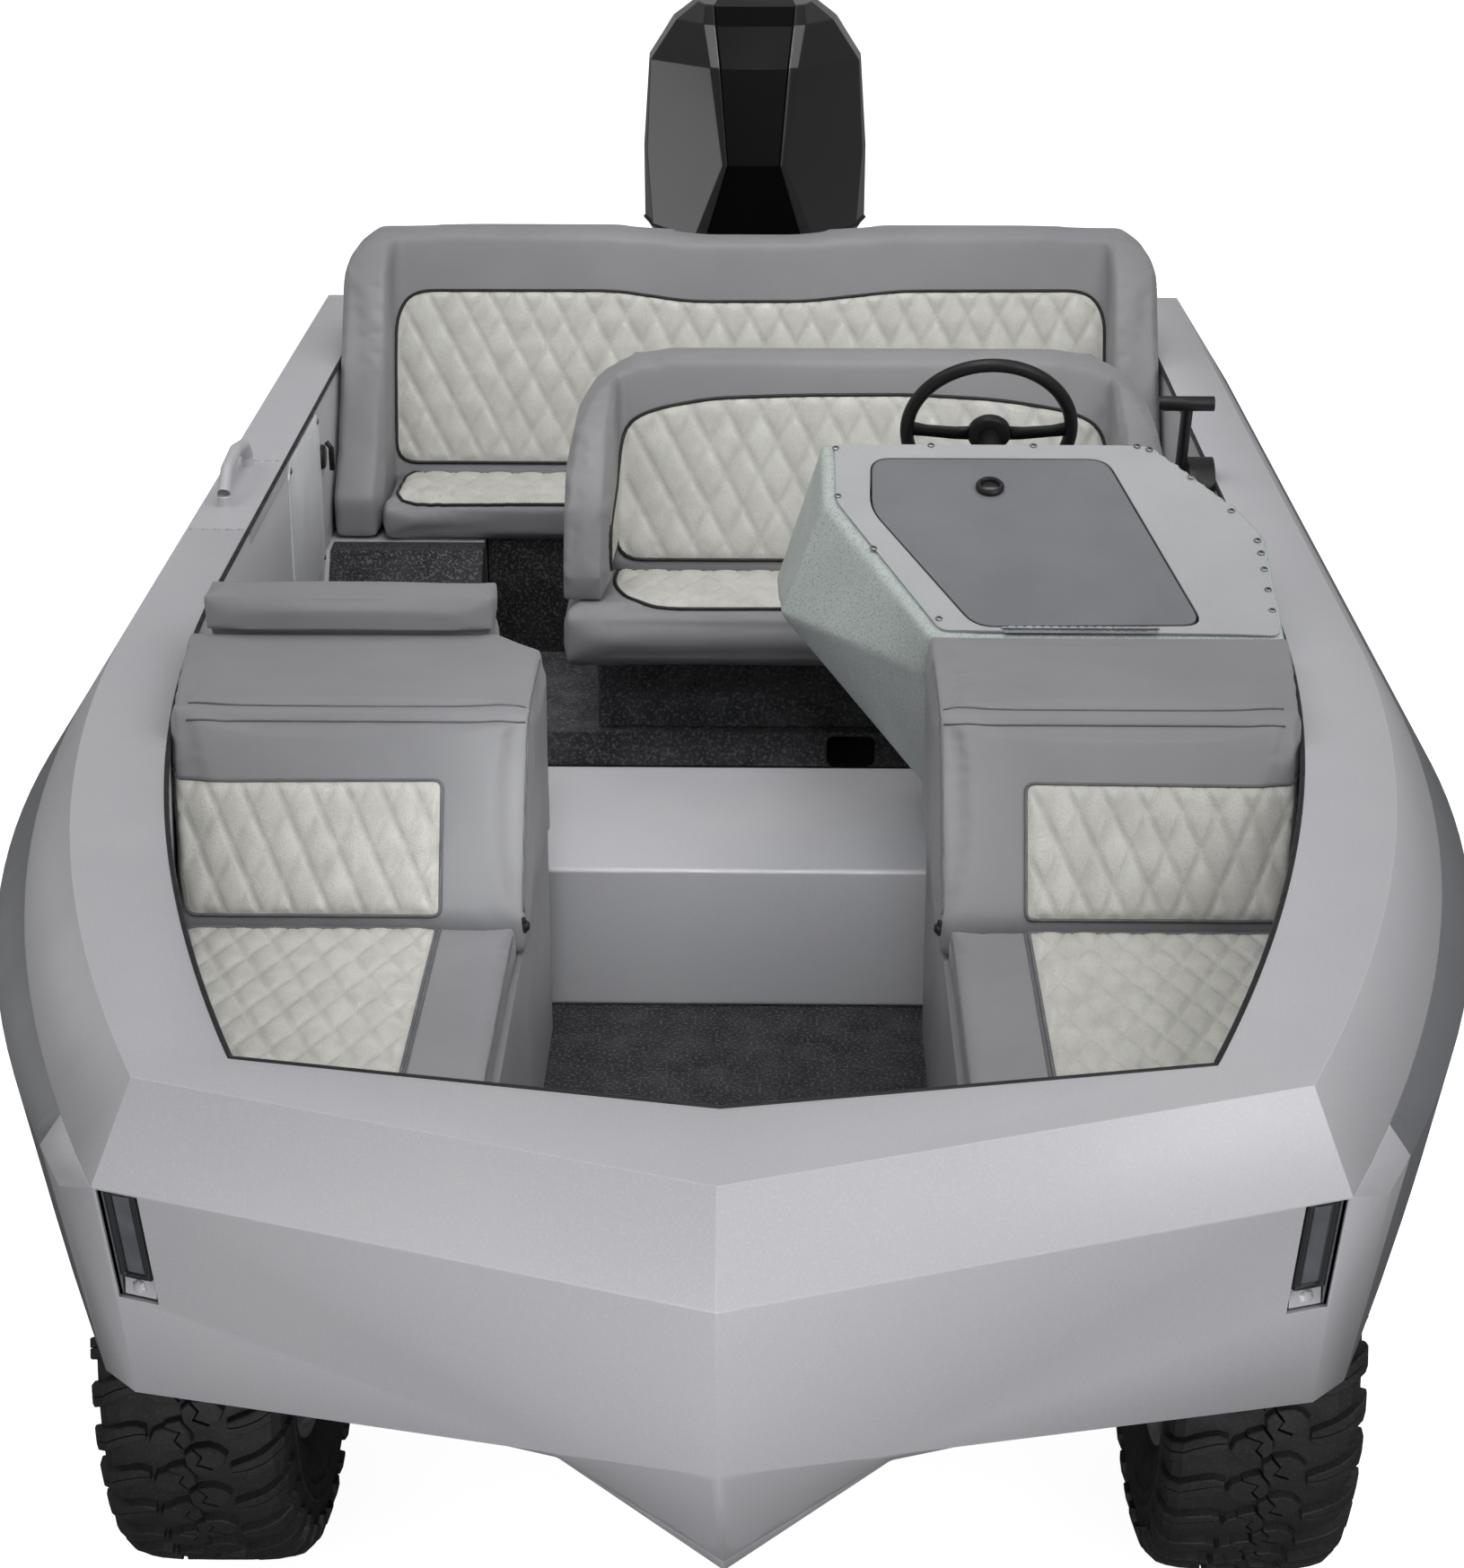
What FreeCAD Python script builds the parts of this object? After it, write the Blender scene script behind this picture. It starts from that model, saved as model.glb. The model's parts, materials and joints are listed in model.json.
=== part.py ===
import FreeCAD, Part
import Sketcher
import math
import os
from FreeCAD import Placement, Rotation, Vector

doc = FreeCAD.newDocument("amphibious_car")

# Frame: x runs to the vehicle's left, y aft, z up. A station is a distance aft of the stem's deck point.
# Driving sizes in millimetres: name, value, what it sets
SIZES = [
    ("hull_length", 4160, "stem deck point to the back of the transom"),
    ("nose_reach", 72, "how far the nose of the bow stands ahead of the stem deck point"),
    ("motor_reach", 1050, "back of the transom to the back of the motor cowl"),
    ("plate", 6, "thickness of hull and deck plates"),
    ("fit_gap", 3, "gap between inner fittings and hull plates"),
    ("seam_gap", 0.5, "gap between pieces that lie side by side"),
    ("deck_height", 1160, "top of the gunwale deck above the ground"),
    ("flange_height", 1045, "lower edge of the deck's bevel"),
    ("deck_corner_half", 685, "half width at the bow corner of the deck"),
    ("deck_corner_station", 240, "station of that corner"),
    ("deck_half", 1005, "half width of the deck aft"),
    ("flange_corner_half", 729, "half width at the bow corner of the bevel's lower edge"),
    ("flange_corner_station", 184, "station of that corner"),
    ("flange_half", 1080, "half width of the bevel's lower edge aft"),
    ("knuckle_corner_half", 785, "half width of the knuckle at the bow"),
    ("knuckle_corner_station", 255, "station of the knuckle at the bow"),
    ("knuckle_corner_height", 1005, "height of the knuckle at the bow"),
    ("knuckle_half", 1135, "half beam at the knuckle"),
    ("knuckle_height", 960, "height of the knuckle aft"),
    ("bow_plate_half", 730, "half width of the bow plate's lower edge"),
    ("bow_plate_station", 310, "station of its outer lower corner"),
    ("bow_plate_height", 680, "height of its outer lower corner"),
    ("stem_chine_height", 766, "height of the bow plate's lower edge at the stem"),
    ("chine_corner_half", 777, "half width of the chine at the bow"),
    ("chine_half", 1070, "half width of the chine aft"),
    ("chine_height", 520, "height of the chine aft"),
    ("beam_station", 1800, "station where the sides run straight aft"),
    ("keel_height", 350, "height of the keel's bottom"),
    ("forefoot_station", 400, "station of the forefoot"),
    ("forefoot_half", 215, "half width of the bottom's inner strake at the forefoot"),
    ("forefoot_height", 525, "height of that strake at the forefoot"),
    ("stem_strake_half", 190, "half width where the strake meets the bow plate"),
    ("strake_half", 385, "half width of the strake aft"),
    ("strake_station", 850, "station where the strake runs straight aft"),
    ("transom_thickness", 30, "thickness of the transom"),
    ("lamp_inner", 672, "inner side of a lamp slot"),
    ("lamp_outer", 724, "outer side of a lamp slot"),
    ("lamp_low", 858, "foot of a lamp slot"),
    ("lamp_high", 1043, "top of a lamp slot"),
    ("lamp_depth", 90, "depth of a lamp slot"),
    ("lamp_sink", 22, "lamp's lens below the bow plate's face"),
    ("bracket_bolt_half", 130, "half width between the motor bracket's bolts"),
    ("bracket_bolt_height", 700, "height of the bracket's lower bolts"),
    ("bracket_bolt_rise", 200, "lower bolts to upper bolts"),
    ("bracket_bolt_radius", 7, "radius of the bracket's bolt holes"),
    ("cockpit_front_station", 177, "front edge of the cockpit opening at the middle"),
    ("cockpit_corner_half", 578, "half width of the opening's front edge"),
    ("cockpit_corner_station", 290, "station of the opening's front corners"),
    ("gunwale_width", 112, "width of the flat deck beside the cockpit"),
    ("cockpit_straight_station", 2000, "station where the opening's sides run straight"),
    ("cockpit_back_station", 4080, "back edge of the opening"),
    ("floor_height", 500, "top of the bow and helm floor"),
    ("aft_floor_height", 574, "top of the raised aft floor"),
    ("floor_thickness", 12, "thickness of a floor panel"),
    ("bow_floor_front", 420, "front end of the bow floor"),
    ("step_front", 1740, "front face of the step box"),
    ("step_back", 2200, "back face of the step box"),
    ("step_half", 420, "half width of the step box"),
    ("step_height", 756, "top of the step box"),
    ("aft_floor_front", 2826, "front face of the raised aft floor"),
    ("riser_hole_left", 166, "near side of the opening in the riser"),
    ("riser_hole_width", 98, "width of that opening"),
    ("riser_hole_height", 66, "height of that opening"),
    ("front_axle_station", 1010, "station of the front axle"),
    ("wheelbase", 2450, "front axle to rear axle"),
    ("track_half", 740, "middle of the vehicle to the middle of a tyre"),
    ("tyre_radius", 405, "tyre radius to the tips of the lugs"),
    ("tyre_width", 285, "tyre width over the shoulder lugs"),
    ("tread_width", 255, "width of the tread"),
    ("lug_depth", 14, "height of the tread lugs"),
    ("rim_radius", 216, "radius of the bead seat"),
    ("rim_lip_radius", 229, "radius of the rim's lip"),
    ("rim_width", 222, "width of the rim over its lips"),
    ("rim_wall", 7, "thickness of the rim's barrel"),
    ("hub_radius", 62, "radius of the wheel's hub boss"),
    ("spindle_radius", 30, "radius of a wheel spindle"),
    ("spindle_fit", 0.06, "radial clearance of a wheel on its spindle"),
    ("kingpin_half", 620, "half distance between the kingpins"),
    ("kingpin_radius", 14, "radius of a kingpin"),
    ("knuckle_block", 27, "radius of a knuckle's upright round its kingpin"),
    ("arm_spread", 118, "half height between the suspension arms at the kingpin"),
    ("arm_thickness", 26, "thickness of a suspension arm"),
    ("front_well_half", 406, "inner wall of the front wheel wells"),
    ("front_arch_top", 868, "top of the front wheel arches"),
    ("rear_well_half", 570, "inner wall of the rear wheel wells"),
    ("arch_flat_half", 250, "half length of a wheel arch's flat top"),
    ("arch_knee_height", 600, "height at which a wheel arch's ends turn upright"),
    ("front_arch_reach", 460, "front axle to the rear knee of its arch"),
    ("rear_arch_reach", 430, "rear axle to either knee of its arch"),
    ("rear_arch_top", 826, "top of the rear wheel arches"),
    ("well_foot", 200, "height below which a well is open"),
    ("seat_inboard", 310, "inboard edge of the bow seats"),
    ("seat_top", 940, "top of the bow cushions"),
    ("seat_cushion_thickness", 58, "thickness of the bow cushions"),
    ("seat_front", 330, "front end of the bow cushions"),
    ("seat_back_foot", 1130, "front of a bow backrest at the cushion"),
    ("seat_back_top_front", 1308, "front edge of a bow backrest's top"),
    ("seat_back_top_back", 1655, "rear edge of a bow backrest's top"),
    ("seat_back_height", 1210, "top of the bow backrests"),
    ("seat_back_chamfer", 85, "corner taken off the right-hand backrest, inboard and aft"),
    ("seat_back_inboard", 298, "inboard face of the bow backrests"),
    ("roll_margin", 43, "side of the cockpit to the companion roll's outboard end"),
    ("roll_inner", 380, "inboard end of the companion roll"),
    ("roll_height", 64, "height of the companion roll"),
    ("roll_depth", 90, "depth of the companion roll"),
    ("companion_back", 2130, "rear end of the companion seat"),
    ("companion_rise", 24, "step box's top to the underside of the companion cushion"),
    ("companion_pad", 80, "thickness of the companion cushion"),
    ("console_left", 60, "left side of the console where it is widest"),
    ("panel_left", 150, "left edge of the console panel's rear part"),
    ("panel_front_left", 317, "left end of the panel's front edge"),
    ("panel_bend", 2000, "station where the panel's left edge turns in"),
    ("console_right", 872, "right edge of the console"),
    ("console_front", 1668, "front edge of the console's top"),
    ("console_back", 2168, "rear edge of the console's top"),
    ("console_front_height", 1196, "height of the top's front edge"),
    ("console_back_height", 1372, "height of the top's rear edge"),
    ("console_foot_left", 430, "left side of the console's foot"),
    ("console_waist_left", 338, "left side of the console at its waist"),
    ("console_waist", 775, "height where the console's side narrows"),
    ("console_flank", 1130, "height where the console is widest"),
    ("console_wall", 8, "thickness of the console's shell"),
    ("panel_thickness", 5, "thickness of the console panel"),
    ("hatch_thickness", 6, "thickness of the console hatch"),
    ("hatch_gap", 5.5, "gap between the hatch and the edge of its recess"),
    ("hinge_run", 19, "console top's front edge to the hatch's hinge pin, up the slope"),
    ("hinge_lift", 9.3, "height of the hinge pin over the console's top"),
    ("hinge_pin_radius", 2.5, "radius of the hatch's hinge pin"),
    ("wheel_middle", 438, "middle of the steering wheel across the vehicle"),
    ("wheel_station", 2340, "station of the steering wheel's hub"),
    ("wheel_height", 1349, "height of the steering wheel's hub"),
    ("wheel_ring_radius", 146, "radius of the steering wheel's ring"),
    ("wheel_ring_bar", 12, "radius of the ring's bar"),
    ("wheel_rake", 25, "angle of the steering column above level, in degrees"),
    ("column_radius", 19, "radius of the steering column"),
    ("throttle_station", 2690, "station of the throttle"),
    ("throttle_drop", 20, "deck's top to the middle of the throttle's drum"),
    ("throttle_radius", 56, "radius and depth of the throttle's drum"),
    ("helm_left", 345, "right-hand end of the helm seat"),
    ("helm_right", 812, "left-hand end of the helm seat"),
    ("helm_wing", 85, "thickness of the helm seat's side wings"),
    ("helm_front", 2565, "front of the helm seat"),
    ("helm_bottom", 800, "underside of the helm seat's front roll"),
    ("helm_top", 925, "top of the helm cushion"),
    ("helm_back_foot", 2845, "front of the helm backrest at the cushion"),
    ("helm_back_top", 3001, "front of the helm backrest at its top"),
    ("helm_back_height", 1319, "top of the helm backrest"),
    ("helm_back_thickness", 105, "thickness of the helm backrest"),
    ("bench_gap", 9, "gap between the rear bench and the gunwale"),
    ("bench_wing", 100, "thickness of the rear bench's side wings"),
    ("bench_front", 3262, "front of the rear bench"),
    ("bench_bottom", 833, "underside of the rear bench's cushion"),
    ("bench_top", 925, "top of the bench cushion"),
    ("bench_back_foot", 3515, "front of the bench's back at the cushion"),
    ("bench_back_top", 3686, "front of the bench's back at its top"),
    ("bench_back_height", 1422, "top of the bench's back"),
    ("bench_back_thickness", 120, "thickness of the bench's back"),
    ("bench_dip", 20, "dip in the middle of the bench back's top"),
    ("cleat_bar_radius", 12, "radius of the mooring cleat's bar"),
    ("cleat_inset", 68, "side of the cockpit to the middle of the mooring cleat"),
    ("cleat_plate_front", 2330, "front end of the cleat's plate"),
    ("cleat_plate_back", 2762, "rear end of the cleat's plate"),
    ("cleat_fold", 26, "depth of the cleat plate's folded edge"),
    ("engine_half", 270, "half width of the engine block"),
    ("engine_front", 3380, "front of the engine block"),
    ("engine_length", 460, "length of the engine block"),
    ("engine_height", 370, "height of the engine block"),
    ("engine_top", 735, "top of the engine block"),
    ("tilt_setback", 370, "back of the transom to the motor's tilt pin"),
    ("tilt_height", 1030, "height of the tilt pin"),
    ("tilt_pin_radius", 16, "radius of the tilt pin"),
    ("steer_setback", 130, "tilt pin to the motor's steering axis"),
    ("swivel_radius", 34, "radius of the motor's steering tube"),
    ("cowl_front_setback", 120, "tilt pin to the front of the cowl"),
    ("cowl_half", 288, "half width of the cowl's base"),
    ("cowl_base", 1150, "underside of the cowl"),
    ("cowl_shoulder", 1600, "height of the cowl's shoulders"),
    ("cowl_top", 1745, "top of the cowl"),
    ("prop_height", 285, "height of the propeller's axis"),
    ("prop_radius", 150, "radius of the propeller"),
    ("prop_hub_radius", 42, "radius of the propeller's hub"),
    ("prop_shaft_radius", 14, "radius of the propeller shaft"),
    ("skeg_height", 92, "lowest point of the motor's skeg"),
]

sheet = doc.addObject("Spreadsheet::Sheet", "Sizes")
for row, (alias, value, meaning) in enumerate(SIZES, start=1):
    sheet.set("A%d" % row, meaning)
    sheet.set("B%d" % row, str(value))
    sheet.setAlias("B%d" % row, alias)
doc.recompute()


def size(alias):
    """Value of one driving size."""
    return float(sheet.get(alias))


# Station of the model's origin, which lies halfway along the whole length
ORIGIN = "(Sizes.hull_length + Sizes.motor_reach - Sizes.nose_reach) / 2"
origin_station = (size("hull_length") + size("motor_reach") - size("nose_reach")) / 2

nodes = []


COCKPIT_HALF = "(Sizes.deck_half - Sizes.gunwale_width)"
cockpit_half = size("deck_half") - size("gunwale_width")


def at(x, station, z):
    """Point from a station."""
    return Vector(x, station - origin_station, z)


def y_of(station):
    """Expression for the y of a station's expression."""
    return "(%s) - %s" % (station, ORIGIN)


def keep(item, label):
    """Name a finished piece and list it for export."""
    item.Label = label
    nodes.append(item)
    return item


def solid_node(label, shape):
    """A piece whose shape is worked out with Part's own functions."""
    item = doc.addObject("Part::Feature", label)
    spot = shape.Placement
    item.Shape = shape
    item.Placement = spot
    return keep(item, label)


def place(item, x="0", station="0", z="0"):
    """Bind a piece's place to expressions."""
    item.setExpression("Placement.Base.x", x)
    item.setExpression("Placement.Base.y", y_of(station))
    item.setExpression("Placement.Base.z", z)


def block(label, x, station, z, width, length, height):
    """Box with its low corner and its sides bound to expressions."""
    item = doc.addObject("Part::Box", label)
    place(item, x, station, z)
    item.setExpression("Length", width)
    item.setExpression("Width", length)
    item.setExpression("Height", height)
    return item


def rod(label, radius, length, x, station, z, axis):
    """Cylinder along an axis, bound to expressions."""
    item = doc.addObject("Part::Cylinder", label)
    item.Placement = Placement(Vector(), Rotation(Vector(0, 0, 1), axis))
    place(item, x, station, z)
    item.setExpression("Radius", radius)
    item.setExpression("Height", length)
    return item


def fuse(label, *items):
    """Weld pieces into one."""
    item = doc.addObject("Part::MultiFuse", label)
    item.Shapes = list(items)
    return item


def cut(label, base, *tools):
    """Cut tools out of a piece."""
    for number, tool in enumerate(tools):
        item = doc.addObject("Part::Cut", "%s_%d" % (label, number))
        item.Base = base
        item.Tool = tool
        base = item
    return base


def origin_plane(body, role):
    """One of a body's own origin planes."""
    return [item for item in body.Origin.OriginFeatures if item.Role == role][0]


def outline(body, role, points, name):
    """Closed sketch whose corners are bound to pairs of expressions."""
    sketch = body.newObject("Sketcher::SketchObject", name)
    sketch.AttachmentSupport = [(origin_plane(body, role), "")]
    sketch.MapMode = "FlatFace"
    count = len(points)
    ring = []
    for k in range(count):
        turn = 2 * math.pi * k / count
        ring.append(Vector(100 * math.cos(turn), 100 * math.sin(turn), 0))
    for k in range(count):
        sketch.addGeometry(Part.LineSegment(ring[k], ring[(k + 1) % count]), False)
    for k in range(count):
        sketch.addConstraint(Sketcher.Constraint("Coincident", k, 2, (k + 1) % count, 1))
    for k, (across, up) in enumerate(points):
        index = sketch.addConstraint(Sketcher.Constraint("DistanceX", -1, 1, k, 1, ring[k].x))
        sketch.setExpression("Constraints[%d]" % index, across)
        index = sketch.addConstraint(Sketcher.Constraint("DistanceY", -1, 1, k, 1, ring[k].y))
        sketch.setExpression("Constraints[%d]" % index, up)
    return sketch


def padded(label, role, points, length, x="0", station="0", z="0", middle=False):
    """Body made by padding an outline, bound to expressions."""
    body = doc.addObject("PartDesign::Body", label)
    sketch = outline(body, role, points, label + "_outline")
    pad = body.newObject("PartDesign::Pad", label + "_pad")
    pad.Profile = sketch
    pad.setExpression("Length", length)
    pad.Midplane = middle
    place(body, x, station, z)
    return body


# Hull: longitudinal lines, from the bow corners aft

transom_face = size("hull_length") - size("transom_thickness")
breaks = [size("forefoot_station"), size("strake_station"), size("beam_station"), transom_face]


def bowed(station, corner_half, corner_station, aft_half, straight_station):
    """Half width on an arc from a bow corner that runs tangent into the straight side."""
    if station >= straight_station:
        return aft_half
    drop = aft_half - corner_half
    run = straight_station - corner_station
    radius = (run * run + drop * drop) / (2 * drop)
    back = straight_station - station
    return aft_half - (radius - math.sqrt(radius * radius - back * back))


def side_line(corner, aft_half, aft_height, shift, stations):
    """Edges from a bow corner through the stations: arcs ahead of the beam station, then a line."""
    corner_half, corner_station, corner_height = corner
    beam = size("beam_station")

    def point(station):
        share = min(1, (station - corner_station) / (beam - corner_station))
        half = bowed(station, corner_half, corner_station, aft_half, beam)
        height = corner_height + (aft_height - corner_height) * share
        return Vector(half + shift[0], station + shift[1], height + shift[2])

    places = [corner_station] + list(stations)
    edges = []
    for first, last in zip(places, places[1:]):
        low = point(first)
        high = point(last)
        high.y = last
        if first != corner_station:
            low.y = first
        if first < beam:
            middle = point((first + last) / 2)
            edges.append(Part.Arc(low, middle, high).toShape())
        else:
            edges.append(Part.makeLine(low, high))
    return edges


def plane_station(first, second, third, x, z):
    """Station where the plane through three points passes x and z."""
    normal = (second - first).cross(third - first)
    return first.y - (normal.x * (x - first.x) + normal.z * (z - first.z)) / normal.y


def edge_face(first, second):
    """Ruled face between two edges that run the same way."""
    return Part.makeRuledSurface(first, second)


def flat_face(points):
    """Flat face with straight sides."""
    return Part.Face(Part.makePolygon(points + [points[0]]))


def fan(points):
    """Triangles from the first point, for corners that lie nearly in a plane."""
    return [flat_face([points[0], a, b]) for a, b in zip(points[1:], points[2:])]


def mirrored(shape):
    """Copy on the other side of the middle."""
    return shape.mirror(Vector(), Vector(1, 0, 0))


def hull_lines(inset):
    """Corner points and longitudinal edges of one side of the hull, moved in by the inset."""
    nose = Vector(0, -size("nose_reach"), size("flange_height"))
    flange = Vector(size("flange_corner_half"), size("flange_corner_station"), size("flange_height"))
    plate = Vector(size("bow_plate_half"), size("bow_plate_station"), size("bow_plate_height"))
    knuckle = Vector(size("knuckle_corner_half"), size("knuckle_corner_station"), size("knuckle_corner_height"))
    stem_z = size("stem_chine_height")
    stem = Vector(0, plane_station(nose, flange, plate, 0, stem_z), stem_z)
    chine = Vector(size("chine_corner_half"), 0, plate.z)
    chine.y = plane_station(flange, knuckle, plate, chine.x, chine.z)
    strake = stem + (plate - stem) * (size("stem_strake_half") / plate.x)
    # Inward moves at the corners, per unit of inset: x, station, height
    nose += Vector(0, 1.11, 0) * inset
    plate += Vector(-0.6, 0.9, 1) * inset
    stem += Vector(0, 1.2, 1) * inset
    strake += Vector(-0.2, 1.1, 1.1) * inset
    flange_shift = Vector(-0.8, 0.9, 0) * inset
    knuckle_shift = Vector(-1, 0.6, 0) * inset
    chine_shift = Vector(-1, 0.6, 1.1) * inset
    flange_edges = side_line(tuple(flange), size("flange_half"), flange.z, flange_shift, breaks)
    knuckle_edges = side_line(tuple(knuckle), size("knuckle_half"), size("knuckle_height"), knuckle_shift, breaks)
    chine_edges = side_line(tuple(chine), size("chine_half"), size("chine_height"), chine_shift, breaks)
    flange += flange_shift
    knuckle += knuckle_shift
    chine += chine_shift
    keel_z = size("keel_height") + 1.2 * inset
    keel_points = [stem, Vector(0, breaks[0], keel_z)]
    keel_points += [Vector(0, station, keel_z) for station in breaks[1:]]
    strake_points = [strake, Vector(size("forefoot_half"), breaks[0], size("forefoot_height") + 1.3 * inset)]
    for edge in chine_edges[1:]:
        foot = edge.Vertexes[1].Point
        share = size("strake_half") / foot.x
        strake_points.append(Vector(size("strake_half"), foot.y, keel_z + (foot.z - keel_z) * share))
    keel_edges = [Part.makeLine(a, b) for a, b in zip(keel_points, keel_points[1:])]
    strake_edges = [Part.makeLine(a, b) for a, b in zip(strake_points, strake_points[1:])]
    corners = {"nose": nose, "flange": flange, "plate": plate, "knuckle": knuckle, "stem": stem,
               "chine": chine, "strake": strake}
    return corners, flange_edges, knuckle_edges, chine_edges, strake_edges, keel_edges


def closed_solid(half_faces, whole_faces):
    """Solid from the faces of one side, their mirror images and the faces across the middle."""
    faces = list(half_faces) + [mirrored(face) for face in half_faces] + list(whole_faces)
    shell = Part.makeShell(faces)
    shell.sewShape()
    solid = Part.makeSolid(shell)
    if solid.Volume < 0:
        solid.reverse()
    solid.translate(Vector(0, -origin_station, 0))
    return solid


def ruled_strip(first_edges, second_edges):
    """Ruled faces between two longitudinal lines."""
    return [edge_face(a, b) for a, b in zip(first_edges, second_edges)]


def hull_solid(inset):
    """The hull's outer form up to the flange, moved in by the inset."""
    corners, flange, knuckle, chine, strake, keel = hull_lines(inset)
    half = ruled_strip(flange, knuckle) + ruled_strip(knuckle, chine)
    half += ruled_strip(chine, strake) + ruled_strip(strake, keel)
    bow_ring = [corners[name] for name in ("nose", "flange", "plate", "strake", "stem")]
    facet = [corners[name] for name in ("flange", "knuckle", "chine", "plate")]
    if inset:
        half += fan(bow_ring) + fan(facet)
    else:
        half += [flat_face(bow_ring), flat_face(facet)]
    half.append(flat_face([corners["plate"], corners["chine"], corners["strake"]]))
    top = Part.Wire([Part.makeLine(corners["nose"], corners["flange"])] + flange)
    aft_corner = flange[-1].Vertexes[1].Point
    mirror_top = mirrored(top)
    closing = Part.makeLine(aft_corner, Vector(-aft_corner.x, aft_corner.y, aft_corner.z))
    top_face = Part.Face(Part.Wire(Part.__sortEdges__(top.Edges + mirror_top.Edges + [closing])))
    ends = [edges[-1].Vertexes[1].Point for edges in (keel, strake, chine, knuckle, flange)]
    ring = ends + [Vector(-p.x, p.y, p.z) for p in reversed(ends[1:])]
    return closed_solid(half, [top_face, flat_face(ring)])


def prism(points, direction):
    """Solid from a closed outline moved along a direction."""
    return flat_face(points).extrude(direction)


def well_profile(front, grow):
    """Side view of a wheel well's void as stations and heights, grown by a wall."""
    foot = size("well_foot")
    if front:
        corners, _, _, _, _, _ = hull_lines(0)
        chine = corners["chine"]
        top = size("front_arch_top")
        axle = size("front_axle_station")
        flat = size("arch_flat_half")
        knee = size("arch_knee_height")
        points = [(chine.y, foot), (chine.y, chine.z), (axle - flat - 130, top - 26), (axle - flat, top),
                  (axle + flat, top), (axle + size("front_arch_reach"), knee),
                  (axle + size("front_arch_reach") + 30, foot)]
    else:
        top = size("rear_arch_top")
        axle = size("front_axle_station") + size("wheelbase")
        flat = size("arch_flat_half")
        knee = size("arch_knee_height")
        reach = size("rear_arch_reach")
        points = [(axle - reach, foot), (axle - reach, knee), (axle - flat, top), (axle + flat, top),
                  (axle + reach, knee), (axle + reach, foot)]
    if not grow:
        return points
    wire = Part.makePolygon([Vector(0, s, z) for s, z in points + points[:1]])
    ring = wire.makeOffset2D(grow, 2)
    return [(v.Point.y, v.Point.z) for v in ring.OrderedVertexes]


def well_void(front, side, grow):
    """Prism that a wheel well takes out of the hull on one side, grown by a wall."""
    inner = size("front_well_half" if front else "rear_well_half") - grow
    points = [at(side * inner, s, z) for s, z in well_profile(front, grow)]
    return prism(points, Vector(side * size("hull_length"), 0, 0))


def wells(grow):
    """All four wheel wells."""
    voids = [well_void(front, side, grow) for front in (True, False) for side in (1, -1)]
    return voids[0].multiFuse(voids[1:])


def below_chine():
    """The part of the hull's form under a lid that runs from chine to chine."""
    corners, _, _, chine, strake, keel = hull_lines(0)
    half = ruled_strip(chine, strake) + ruled_strip(strake, keel)
    half.append(flat_face([corners["stem"], corners["strake"], corners["chine"]]))
    lids = [edge_face(edge, mirrored(edge)) for edge in chine]
    lids.append(flat_face([corners["stem"], corners["chine"], Vector(-corners["chine"].x, corners["chine"].y,
                                                                     corners["chine"].z)]))
    ends = [edges[-1].Vertexes[1].Point for edges in (keel, strake, chine)]
    ring = ends + [Vector(-p.x, p.y, p.z) for p in reversed(ends[1:])]
    return closed_solid(half, lids + [flat_face(ring)])


def half_space(first_station, last_station, low_x, high_x):
    """Tall box that keeps what lies between two stations and two widths."""
    far = 2 * size("hull_length")
    corner = at(low_x, first_station, -far)
    return Part.makeBox(high_x - low_x, last_station - first_station, 2 * far, corner)


def deck_wire(corner_half, corner_station, front_station, aft_half, z, inset):
    """Outline of the deck at one height: bow point, corners, curved sides and a straight back."""
    points = (corner_half, corner_station, z)
    side = side_line(points, aft_half, z, Vector(-0.8, 0.9, 0) * inset, [size("beam_station"), transom_face])
    bow = Vector(0, front_station + 1.1 * inset, z)
    start = side[0].Vertexes[0].Point
    edges = [Part.makeLine(bow, start)] + side
    end = edges[-1].Vertexes[1].Point
    back = Part.makeLine(end, Vector(-end.x, end.y, end.z))
    others = []
    for edge in reversed(edges):
        other = mirrored(edge)
        others.append(other)
    return Part.Wire(Part.__sortEdges__(edges + [back] + others))


def deck_solid(inset):
    """The deck's outer form between the bevel's lower edge and the deck, moved in by the inset."""
    low = deck_wire(size("flange_corner_half"), size("flange_corner_station"), -size("nose_reach"),
                    size("flange_half"), size("flange_height"), inset)
    high = deck_wire(size("deck_corner_half"), size("deck_corner_station"), 0, size("deck_half"),
                     size("deck_height") - inset, inset)
    solid = Part.makeLoft([low, high], True, True)
    solid.translate(Vector(0, -origin_station, 0))
    return solid


def opening_prism(grow, low, high, back_station):
    """Upright prism with the cockpit opening's outline, grown outward."""
    front = size("cockpit_front_station") - grow
    corner = Vector(size("cockpit_corner_half") + grow, size("cockpit_corner_station") - grow * 0.7, low)
    half = cockpit_half + grow
    straight = size("cockpit_straight_station")
    middle = (corner.y + straight) / 2
    bend = Vector(bowed(middle, corner.x, corner.y, half, straight), middle, low)
    knee = Vector(half, straight, low)
    back = Vector(half, back_station, low)
    edges = [Part.makeLine(Vector(0, front, low), corner), Part.Arc(corner, bend, knee).toShape(),
             Part.makeLine(knee, back)]
    closing = Part.makeLine(back, Vector(-back.x, back.y, back.z))
    wire = Part.Wire(Part.__sortEdges__(edges + [closing] + [mirrored(edge) for edge in edges]))
    solid = Part.Face(wire).extrude(Vector(0, 0, high - low))
    solid.translate(Vector(0, -origin_station, 0))
    return solid


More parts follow.
